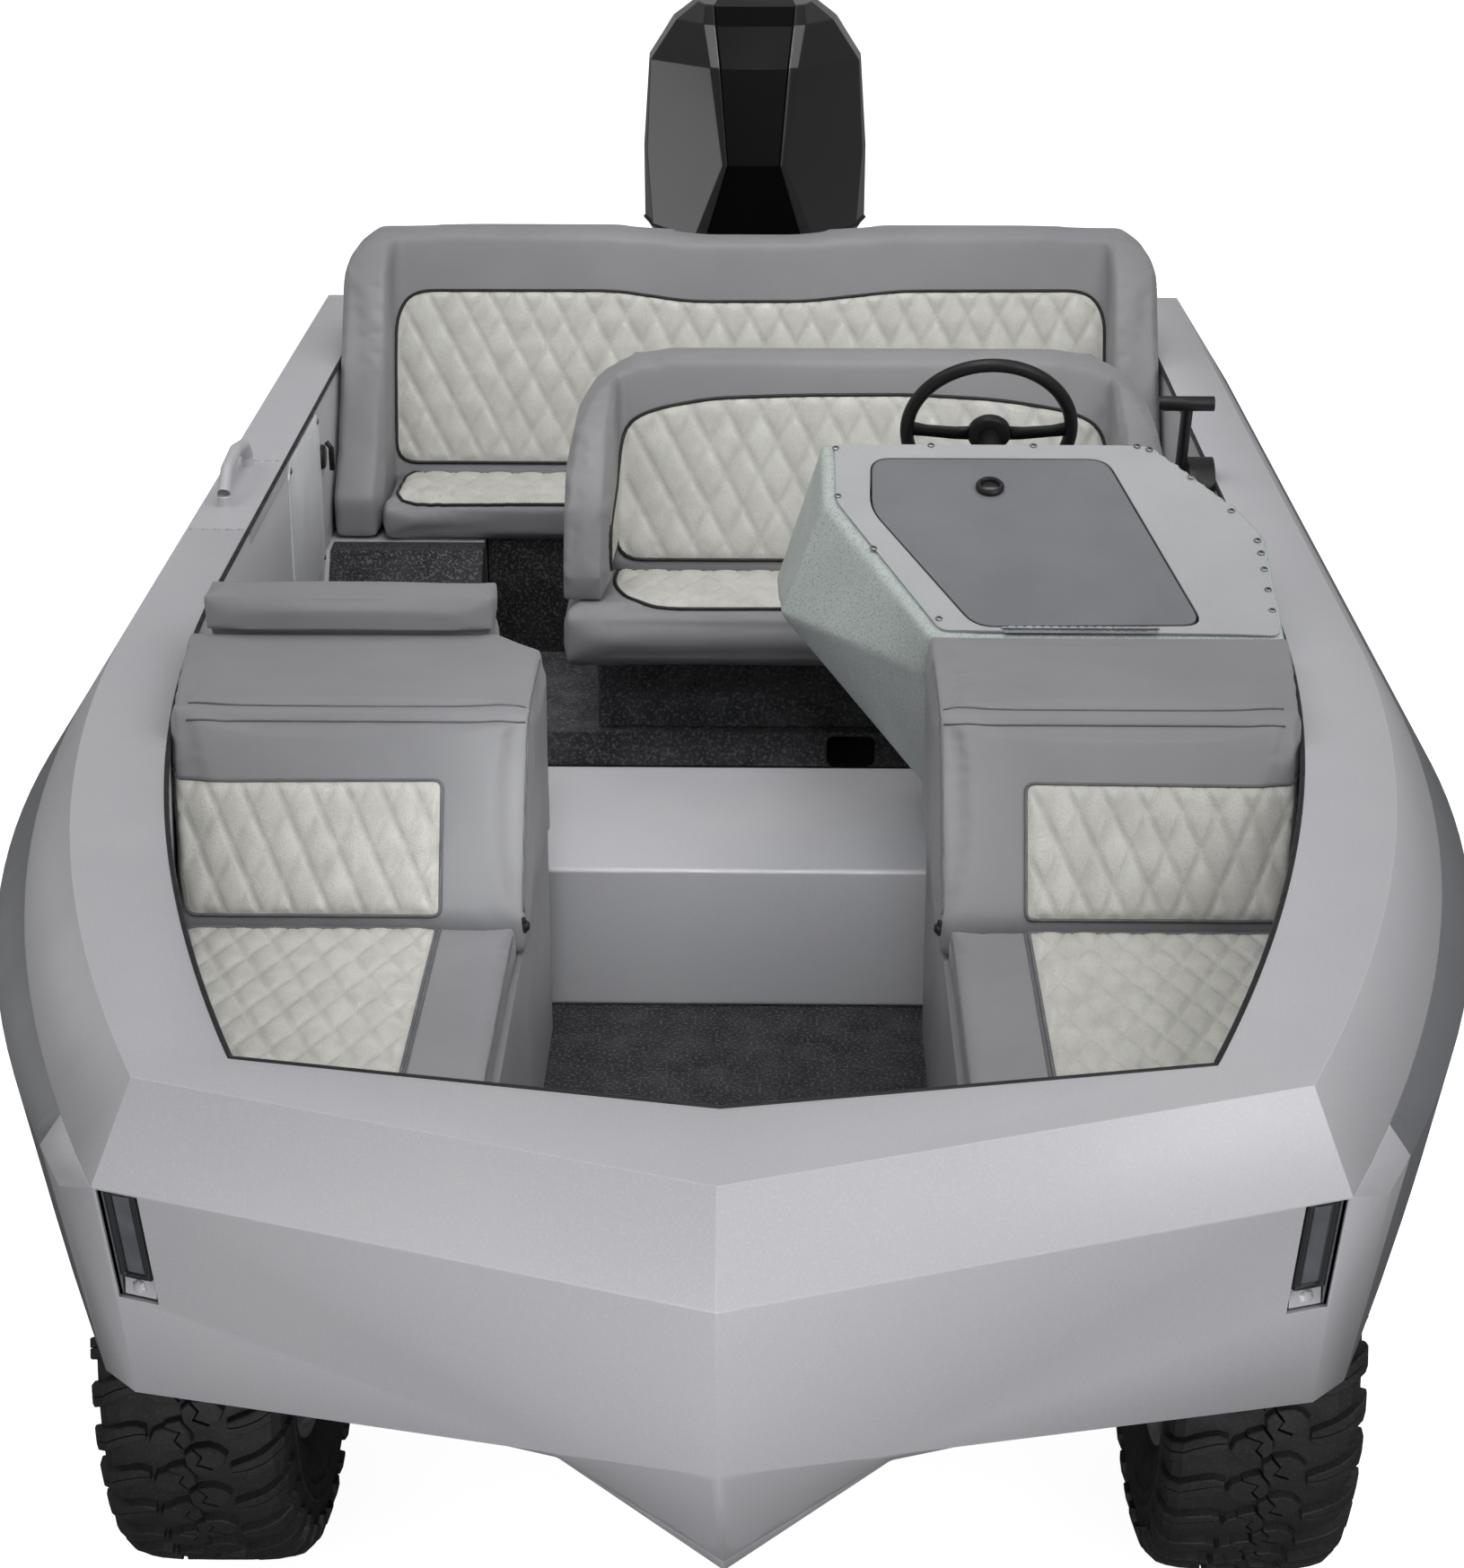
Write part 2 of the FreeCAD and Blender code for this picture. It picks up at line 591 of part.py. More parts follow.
def hull_pieces():
    """Bow, sides and tub cut from the hull's skin, with the housings of the wheel wells."""
    plate = size("plate")
    outer = hull_solid(0)
    inner = hull_solid(plate)
    voids = wells(0)
    housings = wells(plate).cut(voids).common(inner)
    skin = outer.cut(inner).cut(voids)
    bottom = below_chine()
    corners, _, _, _, _, _ = hull_lines(0)
    seam = corners["chine"].y
    beam = 2 * size("knuckle_half")
    bow = skin.common(half_space(-beam, seam, -beam, beam))
    aft = skin.common(half_space(seam, 2 * size("hull_length"), -beam, beam))
    sides = aft.cut(bottom)
    left = sides.common(half_space(seam, 2 * size("hull_length"), 0, beam))
    right = sides.common(half_space(seam, 2 * size("hull_length"), -beam, 0))
    return bow.cut(lamp_slots(0)), left, right, aft.common(bottom), housings


def bow_plate_station(x, z):
    """Station of the bow plate's outer face."""
    nose = Vector(0, -size("nose_reach"), size("flange_height"))
    flange = Vector(size("flange_corner_half"), size("flange_corner_station"), size("flange_height"))
    plate = Vector(size("bow_plate_half"), size("bow_plate_station"), size("bow_plate_height"))
    return plane_station(nose, flange, plate, x, z)


def lamp_prism(side, gap, sink, depth):
    """Upright slot behind the bow plate at one outer edge, from a sink below the plate's face."""
    inner = size("lamp_inner") + gap
    outer = size("lamp_outer") - gap
    low = size("lamp_low") + gap
    high = size("lamp_high") - gap
    ring = [(inner, low), (outer, low), (outer, high), (inner, high)]
    points = [at(side * x, bow_plate_station(x, z) + sink, z) for x, z in ring]
    return prism(points, Vector(0, depth, 0))


def lamp_slots(gap):
    """Both lamp slots in the bow plates."""
    depth = size("lamp_depth")
    return lamp_prism(1, gap, -depth, 2 * depth).fuse(lamp_prism(-1, gap, -depth, 2 * depth))


def room(gap):
    """Space inside the hull and under the deck, clear of the plates and wheel wells by a gap."""
    inset = size("plate") + gap
    return hull_solid(inset).fuse(deck_solid(inset)).cut(wells(inset))


bow, side_left, side_right, tub, housings = hull_pieces()
solid_node("hull_bow", bow)
solid_node("hull_sides", Part.makeCompound([side_left, side_right]))
solid_node("hull_tub", tub)
solid_node("wheel_housings", housings)

deck_top = size("deck_height")
deck = deck_solid(0).cut(deck_solid(size("plate")))
deck = deck.cut(opening_prism(0, size("flange_height"), 2 * deck_top, size("cockpit_back_station")))
deck = deck.cut(Part.makeBox(size("gunwale_width"), size("cleat_plate_back") - size("cleat_plate_front"), 200,
                             at(-size("deck_half") + 4, size("cleat_plate_front"), deck_top - size("plate") - 1)))
solid_node("gunwale_deck", deck)


# Transom: outline of hull and deck at the back, with four bracket holes

def transom_shape():
    """Plate across the back of the hull and deck."""
    _, flange, knuckle, chine, strake, keel = hull_lines(0)
    lines = (keel, strake, chine, knuckle, flange)
    ends = [edges[-1].Vertexes[1].Point for edges in lines]
    ends.append(Vector(size("deck_half"), transom_face, deck_top))
    ring = ends + [Vector(-p.x, p.y, p.z) for p in reversed(ends) if p.x > 0]
    plate = flat_face(ring).extrude(Vector(0, size("transom_thickness"), 0))
    plate.translate(Vector(0, -origin_station, 0))
    deep = 3 * size("transom_thickness")
    for x in (-1, 1):
        for z in (0, 1):
            height = size("bracket_bolt_height") + z * size("bracket_bolt_rise")
            start = at(x * size("bracket_bolt_half"), transom_face - 1, height)
            hole = Part.makeCylinder(size("bracket_bolt_radius"), deep, start, Vector(0, 1, 0))
            plate = plate.cut(hole)
    return plate


solid_node("transom", transom_shape())

# Cockpit walls, floors and boxes, trimmed to the space inside the hull

clear_room = room(size("fit_gap"))
floor_top = size("floor_height")
seam = size("seam_gap")
back_end = size("cockpit_back_station")
walls = opening_prism(size("plate"), floor_top + seam, deck_top - size("plate") - seam, back_end + size("plate"))
walls = walls.cut(opening_prism(0, floor_top - 1, deck_top, back_end))
solid_node("cockpit_walls", walls.common(clear_room))


def slab(first, last, half, low, high):
    """Level slab across the middle between two stations."""
    return Part.makeBox(2 * half, last - first, high - low, at(-half, first, low))


inner_half = cockpit_half - size("bench_gap")
panel_thickness = size("floor_thickness")
bow_half = size("front_well_half") - size("plate") - size("fit_gap")
bow_floor = slab(size("bow_floor_front"), size("step_front") - seam, bow_half, floor_top - panel_thickness, floor_top)
solid_node("bow_floor", bow_floor.common(clear_room))
helm_floor = slab(size("step_front"), size("aft_floor_front") - seam, inner_half, floor_top - panel_thickness, floor_top)
solid_node("helm_floor", helm_floor.common(clear_room))


def aft_floor_shape():
    """Raised floor between the rear wheel wells, with its riser and the riser's opening."""
    top = size("aft_floor_height")
    front = size("aft_floor_front")
    well_front = size("front_axle_station") + size("wheelbase") - size("rear_arch_reach") - 30
    well_side = size("rear_well_half") - size("plate") - size("fit_gap") - 8
    back = size("bench_front") + 40 - seam
    floor = slab(front, well_front, inner_half, top - panel_thickness, top)
    floor = floor.fuse(slab(well_front, back, well_side, top - panel_thickness, top))
    riser = slab(front, front + panel_thickness, inner_half, floor_top + seam, top)
    hole = Part.makeBox(size("riser_hole_width"), 4 * panel_thickness, size("riser_hole_height"),
                        at(size("riser_hole_left"), front - panel_thickness, floor_top + seam))
    hole = hole.makeFillet(14, [e for e in hole.Edges if abs(e.tangentAt(0).y) > 0.9])
    return floor.fuse(riser).cut(hole).removeSplitter()


solid_node("aft_floor", aft_floor_shape().common(clear_room))

cover_gap = size("plate") + seam
snug_room = room(seam)
covers = wells(cover_gap + 4).cut(wells(cover_gap))
cover_box = slab(size("aft_floor_front") + 60, size("bench_front") - seam, inner_half,
                 size("aft_floor_height") + seam, deck_top)
covers = covers.common(cover_box).common(snug_room)
solid_node("well_covers", covers)

# Step box between the bow seats and the helm floor

padded("step_box", "XY_Plane",
       [("-Sizes.step_half", "0 mm"), ("Sizes.step_half", "0 mm"),
        ("Sizes.step_half", "Sizes.step_back - Sizes.step_front"),
        ("-Sizes.step_half", "Sizes.step_back - Sizes.step_front")],
       "Sizes.step_height - Sizes.floor_height - Sizes.seam_gap",
       station="Sizes.step_front", z="Sizes.floor_height + Sizes.seam_gap")
keep(doc.getObject("step_box"), "step_box")

# Bow seats: base with an inboard panel and a board over the wheel well, cushion and backrest

cushion_low = size("seat_top") - size("seat_cushion_thickness")
seat_trim = opening_prism(-size("fit_gap"), floor_top - 1, 2 * deck_top, back_end)


def side_box(side, inner, outer, first, last, low, high):
    """Box on one side of the middle between two half widths."""
    x = inner if side > 0 else -outer
    return Part.makeBox(outer - inner, last - first, high - low, at(x, first, low))


def seat_base(side):
    """Inboard panel down to the floor and the board that carries the cushion."""
    far = cockpit_half
    inner = size("seat_inboard")
    first = size("seat_front")
    last = size("seat_back_top_back")
    top = cushion_low - seam
    panel = side_box(side, inner, inner + panel_thickness, size("bow_floor_front"), last, floor_top + seam, top)
    board = side_box(side, inner, far, first, last, top - 5, top)
    return panel.fuse(board).removeSplitter().common(seat_trim).common(clear_room)


def seat_cushion(side):
    """Plain solid of a bow cushion."""
    cushion = side_box(side, size("seat_inboard"), cockpit_half, size("seat_front"),
                       size("seat_back_foot") - 3, cushion_low, size("seat_top"))
    return cushion.common(seat_trim)


def seat_backrest(side):
    """Plain solid of a bow backrest: sloped front, level top and upright back."""
    foot = size("seat_back_foot")
    low = cushion_low
    high = size("seat_back_height")
    back = size("seat_back_top_back")
    ring = [(foot, low), (foot, size("seat_top")), (size("seat_back_top_front"), high), (back, high), (back, low)]
    inner = side * size("seat_back_inboard")
    points = [at(inner, s, z) for s, z in ring]
    rest = prism(points, Vector(side * cockpit_half, 0, 0)).common(seat_trim)
    if side > 0:
        return rest
    tip = size("seat_back_chamfer")
    corner = [at(inner + 1, back - tip, low - 1), at(inner + 1, back + 1, low - 1), at(inner - tip, back + 1, low - 1)]
    return rest.cut(prism(corner, Vector(0, 0, 2 * high)))


for label, shape_of in (("bow_seat_bases", seat_base), ("bow_cushions", seat_cushion),
                        ("bow_backrests", seat_backrest)):
    solid_node(label, Part.makeCompound([shape_of(1), shape_of(-1)]))

# Companion seat behind the right-hand bow backrest: base, cushion, back pad and roll

companion_low = size("step_height") + size("companion_rise")
companion_front = size("seat_back_top_back")
companion_outer = cockpit_half - size("roll_margin")
companion_inner = size("roll_inner")
base_gap = 20
base = side_box(-1, size("step_half") + base_gap / 2, companion_outer, companion_front + base_gap,
                size("companion_back") - base_gap, floor_top + seam, companion_low - seam)
solid_node("companion_base", base.common(clear_room))
pad_front = companion_front + size("roll_depth") + 3
solid_node("companion_cushion", side_box(-1, companion_inner, companion_outer, pad_front, size("companion_back"),
                                         companion_low, companion_low + size("companion_pad")))
pad = side_box(-1, companion_inner, companion_outer, companion_front + seam, companion_front + size("roll_depth"),
               companion_low, size("seat_back_height") + seam)
roll = side_box(-1, companion_inner, companion_outer, companion_front - base_gap,
                companion_front - base_gap + size("roll_depth"), size("seat_back_height") + seam,
                size("seat_back_height") + seam + size("roll_height"))
solid_node("companion_backrest", pad.fuse(roll).removeSplitter())

# Console: housing with a sloped top, leg room open to the back, panel, hatch and latch

console_right = size("console_right")
slope = (size("console_back_height") - size("console_front_height")) / (size("console_back") - size("console_front"))
slope_turn = math.degrees(math.atan(slope))
front = size("console_front")
back = size("console_back")


def sloped(x, station, lift=0):
    """Point on the console's sloped top."""
    return at(x, station, size("console_front_height") + (station - front) * slope + lift)


def console_shape():
    """Housing: loft from the foot over the waist and flank to the sloped top."""
    foot = [(size("console_foot_left"), back - 40), (size("console_foot_left"), back - 120),
            (size("console_foot_left") + 20, front + 80), (console_right, front + 80), (console_right, back - 40)]
    waist = [(size("console_waist_left"), back - 60), (size("console_waist_left") + 5, back - 160),
             (size("console_foot_left"), front + 60), (console_right, front + 60), (console_right, back - 60)]
    flank = [(size("console_left"), back - 20), (size("console_left") + 8, back - 200),
             (size("panel_front_left") - 20, front + 10), (console_right, front + 10), (console_right, back - 20)]
    top = [(size("panel_left") - 12, back), (size("panel_left") - 10, size("panel_bend")),
           (size("panel_front_left") - 10, front), (console_right, front), (console_right, back)]
    wires = []
    for ring, z in ((foot, floor_top + seam), (waist, size("console_waist")), (flank, size("console_flank"))):
        points = [at(x, s, z) for x, s in ring]
        wires.append(Part.makePolygon(points + points[:1]))
    points = [sloped(x, s) for x, s in top]
    wires.append(Part.makePolygon(points + points[:1]))
    shell = Part.makeLoft(wires, True, True)
    wall = 20
    legs = Part.makeBox(console_right - size("console_foot_left") - 2 * wall, 600,
                        size("console_flank") - 40 - floor_top, at(size("console_foot_left") + wall, front + 190,
                                                                  floor_top - 20))
    recess = hatch_prism(size("hatch_gap"), -size("hatch_thickness") - 40, 60)
    clear = 6
    step = slab(size("step_front") - clear, size("step_back") + clear, size("step_half") + clear, floor_top - clear,
                size("step_height") + clear)
    return shell.cut(legs).cut(recess).cut(step)


HATCH = [(230, 2116), (614, 2119), (629, 2112), (743, 1722), (736, 1696), (384, 1690), (378, 1694), (221, 1981)]


def hatch_prism(grow, low, high):
    """Prism with the hatch's outline, square to the sloped top."""
    plane = Placement(sloped(0, front), Rotation(Vector(1, 0, 0), slope_turn))
    stretch = 1 / math.cos(math.radians(slope_turn))
    wire = Part.makePolygon([Vector(x, (s - front) * stretch, 0) for x, s in HATCH + HATCH[:1]])
    if grow:
        wire = wire.makeOffset2D(grow, 2)
    solid = Part.Face(wire).extrude(Vector(0, 0, high - low))
    solid.translate(Vector(0, 0, low))
    solid.Placement = plane.multiply(solid.Placement)
    return solid


def panel_shape():
    """Plate on the sloped top with the hatch's cut-out."""
    ring = [(size("panel_left"), back), (size("panel_left") + 2, size("panel_bend")),
            (size("panel_front_left"), front + 2), (console_right - 4, front + 2), (console_right - 4, 1921),
            (836, 1992), (704, back)]
    normal = Vector(0, -math.sin(math.radians(slope_turn)), math.cos(math.radians(slope_turn)))
    plate = prism([sloped(x, s, 0.3) for x, s in ring], normal * size("panel_thickness"))
    return plate.cut(hatch_prism(size("hatch_gap"), -10, 20))


def on_slope(shape):
    """Move a shape made flat (x, distance up the slope, lift) onto the console's top."""
    plane = Placement(sloped(0, front), Rotation(Vector(1, 0, 0), slope_turn))
    shape.Placement = plane.multiply(shape.Placement)
    return shape


# Piano hinge along the hatch's front edge: pin on the panel, barrel and leaf on the hatch
hinge_low, hinge_high = 421, 672
hinge_run = size("hinge_run")
hinge_lift = size("hinge_lift")
hinge_pin = size("hinge_pin_radius")
barrel = hinge_pin + 1.5
lug = 9


def hinge_rod(radius, low, high):
    """Cylinder on the hatch's hinge axis."""
    return Part.makeCylinder(radius, high - low, Vector(low, hinge_run, hinge_lift), Vector(1, 0, 0))


lugs = []
for low in (hinge_low, hinge_high - lug):
    lugs.append(hinge_rod(barrel, low, low + lug))
    lugs.append(Part.makeBox(lug, 2 * barrel, hinge_lift - 3, Vector(low, hinge_run - 2 * barrel, 3)))
hinge_fixed = hinge_rod(hinge_pin, hinge_low, hinge_high).multiFuse(lugs)
barrel_low = hinge_low + lug + 1
barrel_high = hinge_high - lug - 1
leaf = Part.makeBox(barrel_high - barrel_low, 24, 2, Vector(barrel_low, hinge_run, hinge_lift - 3))
leaf = leaf.fuse(Part.makeBox(barrel_high - barrel_low, 9, 4, Vector(barrel_low, hinge_run + 15, hinge_lift - 5)))
hinge_moving = hinge_rod(barrel, barrel_low, barrel_high).fuse(leaf)
hinge_moving = hinge_moving.cut(hinge_rod(hinge_pin + size("spindle_fit"), hinge_low, hinge_high))
solid_node("console_shell", console_shape())
solid_node("console_panel", panel_shape().fuse(on_slope(hinge_fixed)))
hatch = hatch_prism(0, -1.0, size("hatch_thickness") - 1.0)
solid_node("console_hatch", hatch.fuse(on_slope(hinge_moving)))

latch_run = (2039 - front) / math.cos(math.radians(slope_turn))
hatch_top = size("hatch_thickness") - 1
# Side view of the latch's ring: radius, height over the hatch
RING = [(15, 3.3), (15, 7), (17, 9.5), (21, 9.5), (24, 6), (24, 0.3), (0, 0.3), (0, 3.3)]
spot = Vector(421, latch_run, hatch_top)
latch_face = Part.Face(Part.makePolygon([spot + Vector(radius, 0, rise) for radius, rise in RING + RING[:1]]))
solid_node("hatch_latch", on_slope(latch_face.revolve(spot, Vector(0, 0, 1), 360)))

# Steering wheel: ring, hub, three spokes and column, built flat and raked

wheel_tilt = Rotation(Vector(1, 0, 0), -(90 - size("wheel_rake")))
wheel_hub = at(size("wheel_middle"), size("wheel_station"), size("wheel_height"))
ring_radius = size("wheel_ring_radius")
bar = size("wheel_ring_bar")
wheel = Part.makeTorus(ring_radius, bar)
wheel = wheel.fuse(Part.makeCylinder(38, 26, Vector(0, 0, -20)))
for turn in (90, 210, 330):
    spoke = Part.makeBox(ring_radius, 24, 7, Vector(0, -12, -10))
    spoke.rotate(Vector(), Vector(0, 0, 1), turn)
    wheel = wheel.fuse(spoke)
wheel.Placement = Placement(wheel_hub, wheel_tilt)
solid_node("steering_wheel", wheel)

# Column from the steering wheel's hub down to the console's back
column_axis = wheel_tilt.multVec(Vector(0, 0, 1))
column_start = wheel_hub - column_axis * 20.3
column_length = 190
column = Part.makeCylinder(size("column_radius"), column_length, column_start, column_axis * -1)
boot = Part.makeCone(size("column_radius") + 4, 52, 46, column_start - column_axis * 96, column_axis * -1)
solid_node("steering_column", column.fuse(boot).cut(console_shape()))

# Throttle on the left cockpit wall: drum, lever and grip

throttle_x = cockpit_half - 0.3
drum = size("throttle_radius")
throttle_z = deck_top - size("throttle_drop")
throttle_spot = size("throttle_station")
throttle = Part.makeCylinder(drum, drum, at(throttle_x - drum, throttle_spot, throttle_z), Vector(1, 0, 0))
rim_edges = [edge for edge in throttle.Edges if len(edge.Vertexes) == 1 and
             abs(edge.Vertexes[0].Point.x - throttle_x + drum) < 1]
throttle = throttle.makeChamfer(8, rim_edges)
boss = Part.makeCylinder(26, 16, at(throttle_x - drum - 12, throttle_spot, throttle_z), Vector(1, 0, 0))
lean = Vector(0, -0.35, 1)
stick = Part.makeCylinder(11, 195, at(throttle_x - drum - 7, throttle_spot, throttle_z), lean)
grip_spot = at(throttle_x - 118, throttle_spot, throttle_z) + lean * (190 / lean.Length)
grip = Part.makeCylinder(14, 104, grip_spot, Vector(1, 0, 0))
solid_node("throttle", throttle.multiFuse([boss, stick, grip]))

# Helm seat and rear bench: cushion between side wings, and a leaning back whose wings come forward


def seat_slab(low_x, high_x, ring):
    """Prism across the vehicle from a side view of stations and heights."""
    points = [at(low_x, s, z) for s, z in ring]
    return prism(points, Vector(high_x - low_x, 0, 0))


def winged_back(low_x, high_x, wing, wing_low, name, edge, bottom):
    """Back with side wings: side view of the wings, less the seating room, trimmed to a front view.

    edge has the wings' front edge as (station, height) pairs, lowest first."""
    foot = size(name + "_back_foot")
    top_front = size(name + "_back_top")
    top = size(name + "_back_height")
    thick = size(name + "_back_thickness")
    lean = (top_front - foot) / (top - size(name + "_top"))
    low_front = foot - lean * (size(name + "_top") - bottom)
    low_back = low_front + thick
    ring = [(low_back, bottom), (low_front, bottom)] + edge + [(top_front + 12, top), (top_front + thick, top)]
    if wing_low < size(name + "_top"):
        ring = [(low_back, bottom)] + edge + [(top_front + 12, top), (top_front + thick, top)]
    body = seat_slab(low_x, high_x, ring)
    ahead = size(name + "_front") - 100
    above = top + 100
    hollow = seat_slab(low_x + wing, high_x - wing, [(ahead, bottom - 1), (low_front - lean, bottom - 1),
                                                     (foot, size(name + "_top")), (top_front + 100 * lean, above),
                                                     (ahead, above)])
    return body.cut(hollow)


def front_trim(points, first, last):
    """Prism along the vehicle from a front view of half widths and heights."""
    return prism([at(x, first, z) for x, z in points], Vector(0, last - first, 0))


helm_low = -size("helm_left")
helm_high = size("helm_right")
helm_front = size("helm_front")
helm_foot = size("helm_back_foot")
helm_top = size("helm_top")
helm_bottom = size("helm_bottom")
helm_peak = size("helm_back_height")
solid_node("helm_cushion", seat_slab(helm_low, helm_high, [
    (helm_front, helm_bottom + 20), (helm_front, helm_top - 22), (helm_front + 22, helm_top),
    (helm_foot - seam, helm_top), (helm_foot - seam, helm_bottom), (helm_front + 20, helm_bottom)]))
# Front edge of the helm seat's wings: forward of the back's foot, height over the cushion
HELM_WING = [(245, 3), (250, 60), (195, 180), (60, 310)]
edge = [(helm_foot - ahead, helm_top + rise) for ahead, rise in HELM_WING]
# Shoulder of the helm back in front view: in from the end, down from the top
SHOULDER = [(0, 170), (16, 95), (45, 45), (110, 14), (200, 0)]
helm_view = [(helm_low, helm_bottom - 9), (helm_high, helm_bottom - 9)]
helm_view += [(helm_high - inward, helm_peak - down) for inward, down in SHOULDER]
helm_view += [(helm_low + inward, helm_peak - down) for inward, down in reversed(SHOULDER)]
helm_back = winged_back(helm_low, helm_high, size("helm_wing"), helm_top + 3, "helm", edge, helm_bottom)
helm_body = front_trim(helm_view, helm_front - 50, helm_foot + 800)
helm_clear = seat_slab(helm_low - 1, helm_high + 1, [(helm_front - 99, helm_bottom - 99), (helm_foot, helm_bottom - 99),
                                                     (helm_foot, helm_top + 0.3), (helm_front - 99, helm_top + 0.3)])
solid_node("helm_backrest", helm_back.common(helm_body).cut(helm_clear))
aft_front = size("aft_floor_front")
aft_top = size("aft_floor_height")
helm_base = Part.makeBox(helm_high + size("helm_left") - 330, 210, helm_bottom - aft_top - 2 * seam,
                         at(helm_low + 45, aft_front + 24, aft_top + seam))
solid_node("helm_base", helm_base)

# Rear bench over the rear wheel wells: base, cushion, back and the engine block behind the base

bench_half = inner_half
bench_front = size("bench_front")
bench_bottom = size("bench_bottom")
bench_top = size("bench_top")
bench_foot = size("bench_back_foot")
bench_peak = size("bench_back_height")
bench_panel = bench_front + 40
bench_base = slab(bench_panel, bench_panel + panel_thickness, size("rear_well_half") - size("plate") - 6,
                  aft_top - panel_thickness, bench_bottom - seam)
shelf_front = bench_foot + size("bench_back_thickness") - 20
shelf_low = size("rear_arch_top") + size("plate") + seam
shelf = slab(shelf_front, size("cockpit_back_station") - 20, bench_half, shelf_low, shelf_low + 5)
solid_node("bench_base", bench_base.common(clear_room))
solid_node("parcel_shelf", shelf.common(snug_room))
cushion_half = bench_half - size("bench_wing") - seam
solid_node("bench_cushion", seat_slab(-cushion_half, cushion_half, [
    (bench_front, bench_bottom + 14), (bench_front, bench_top - 22), (bench_front + 22, bench_top),
    (bench_foot - seam, bench_top), (bench_foot - seam - 33, bench_bottom), (bench_front + 14, bench_bottom)]))
# Front edge of the bench's wings: aft of the bench's front, height over the cushion's underside
BENCH_WING = [(10, 0), (10, 90), (100, 190), (205, 350), (330, 515), (400, 580)]
edge = [(bench_front + ahead, bench_bottom + rise) for ahead, rise in BENCH_WING]
bench_back = winged_back(-bench_half, bench_half, size("bench_wing"), bench_bottom, "bench", edge, bench_bottom)
dip = size("bench_dip")
# Top of the bench back in front view: half width, down from the peak
BENCH_TOP = [(bench_half, 90), (bench_half - 6, 40), (bench_half - 55, 5), (600, 0), (296, 0), (180, dip / 2), (98, dip)]
bench_view = [(-bench_half, bench_bottom - 9), (bench_half, bench_bottom - 9)]
bench_view += [(half, bench_peak - down) for half, down in BENCH_TOP]
bench_view += [(-half, bench_peak - down) for half, down in reversed(BENCH_TOP)]
solid_node("bench_backrest", bench_back.common(front_trim(bench_view, bench_front - 99, bench_foot + 999)))
engine = slab(size("engine_front"), size("engine_front") + size("engine_length"), size("engine_half"),
              size("engine_top") - size("engine_height"), size("engine_top"))
solid_node("engine_block", engine.common(snug_room))

# Mooring cleat on the right-hand deck: an arched bar on an inlaid plate whose inboard edge is folded down

arch_bar = size("cleat_bar_radius")
arch_x = -cockpit_half - size("cleat_inset")
plate_first = size("cleat_plate_front")
plate_last = size("cleat_plate_back")
fold_side = -cockpit_half + seam / 2
inlay = Part.makeBox(fold_side + 3 + size("deck_half") - 4 - seam, plate_last - plate_first - 2 * seam, size("plate"),
                     at(-size("deck_half") + 4 + seam, plate_first + seam, deck_top - size("plate")))
fold = Part.makeBox(3, plate_last - plate_first - 2 * seam, size("cleat_fold"),
                    at(fold_side, plate_first + seam, deck_top - size("cleat_fold")))
# Middle line of the arch: station, height over the deck
ARCH = [(2471, -2), (2471, 22), (2520, 56), (2620, 64), (2700, 50), (2730, 22), (2730, -2)]
line = Part.makePolygon([at(arch_x, s, deck_top + rise) for s, rise in ARCH])
section = Part.Wire(Part.makeCircle(arch_bar, at(arch_x, ARCH[0][0], deck_top + ARCH[0][1]), Vector(0, 0, 1)))
arch = line.makePipeShell([section], True, False, 2)
solid_node("mooring_cleat", inlay.multiFuse([fold, arch]))

# Access plate on the right-hand cockpit wall

access_x = -cockpit_half + 0.3
access_ring = [(2800, 820), (3140, 820), (3170, 850), (3170, 1120), (3140, 1150), (2800, 1150), (2770, 1120), (2770, 850)]
solid_node("access_plate", prism([at(access_x, s, z) for s, z in access_ring], Vector(4, 0, 0)))

# Head lamps in the bow's slots and tail lamps on the transom

def lamp(side):
    """Housing against the back of the bow plate, with its lens sunk below the plate's face."""
    flange = 16
    wall = 3
    inner = size("lamp_inner")
    outer = size("lamp_outer") - wall
    low = size("lamp_low")
    high = size("lamp_high") - wall
    seat = size("plate") + 2.6
    solids = []
    for x0, x1, z0, z1, first, depth in ((inner - flange, outer, low - flange, high, seat, size("lamp_depth")),
                                         (inner, outer - wall, low, high - wall, -1, size("lamp_sink") + 1)):
        points = [at(side * x, bow_plate_station(x, z) + first, z) for x, z in ((x0, z0), (x1, z0), (x1, z1), (x0, z1))]
        solids.append(prism(points, Vector(0, depth, 0)))
    return solids[0].cut(solids[1])


solid_node("head_lamps", Part.makeCompound([lamp(1), lamp(-1)]))
tail = [Part.makeBox(60, 14, 150, at(x, size("hull_length") + 0.3, 880)) for x in (-930, 870)]
solid_node("tail_lamps", Part.makeCompound(tail))

# Wheels: tyre with shoulder lugs and rim, built about the axle's middle with the outboard side at +x

tyre_radius = size("tyre_radius")
tyre_half = size("tyre_width") / 2
tread_half = size("tread_width") / 2
carcass = tyre_radius - size("lug_depth")


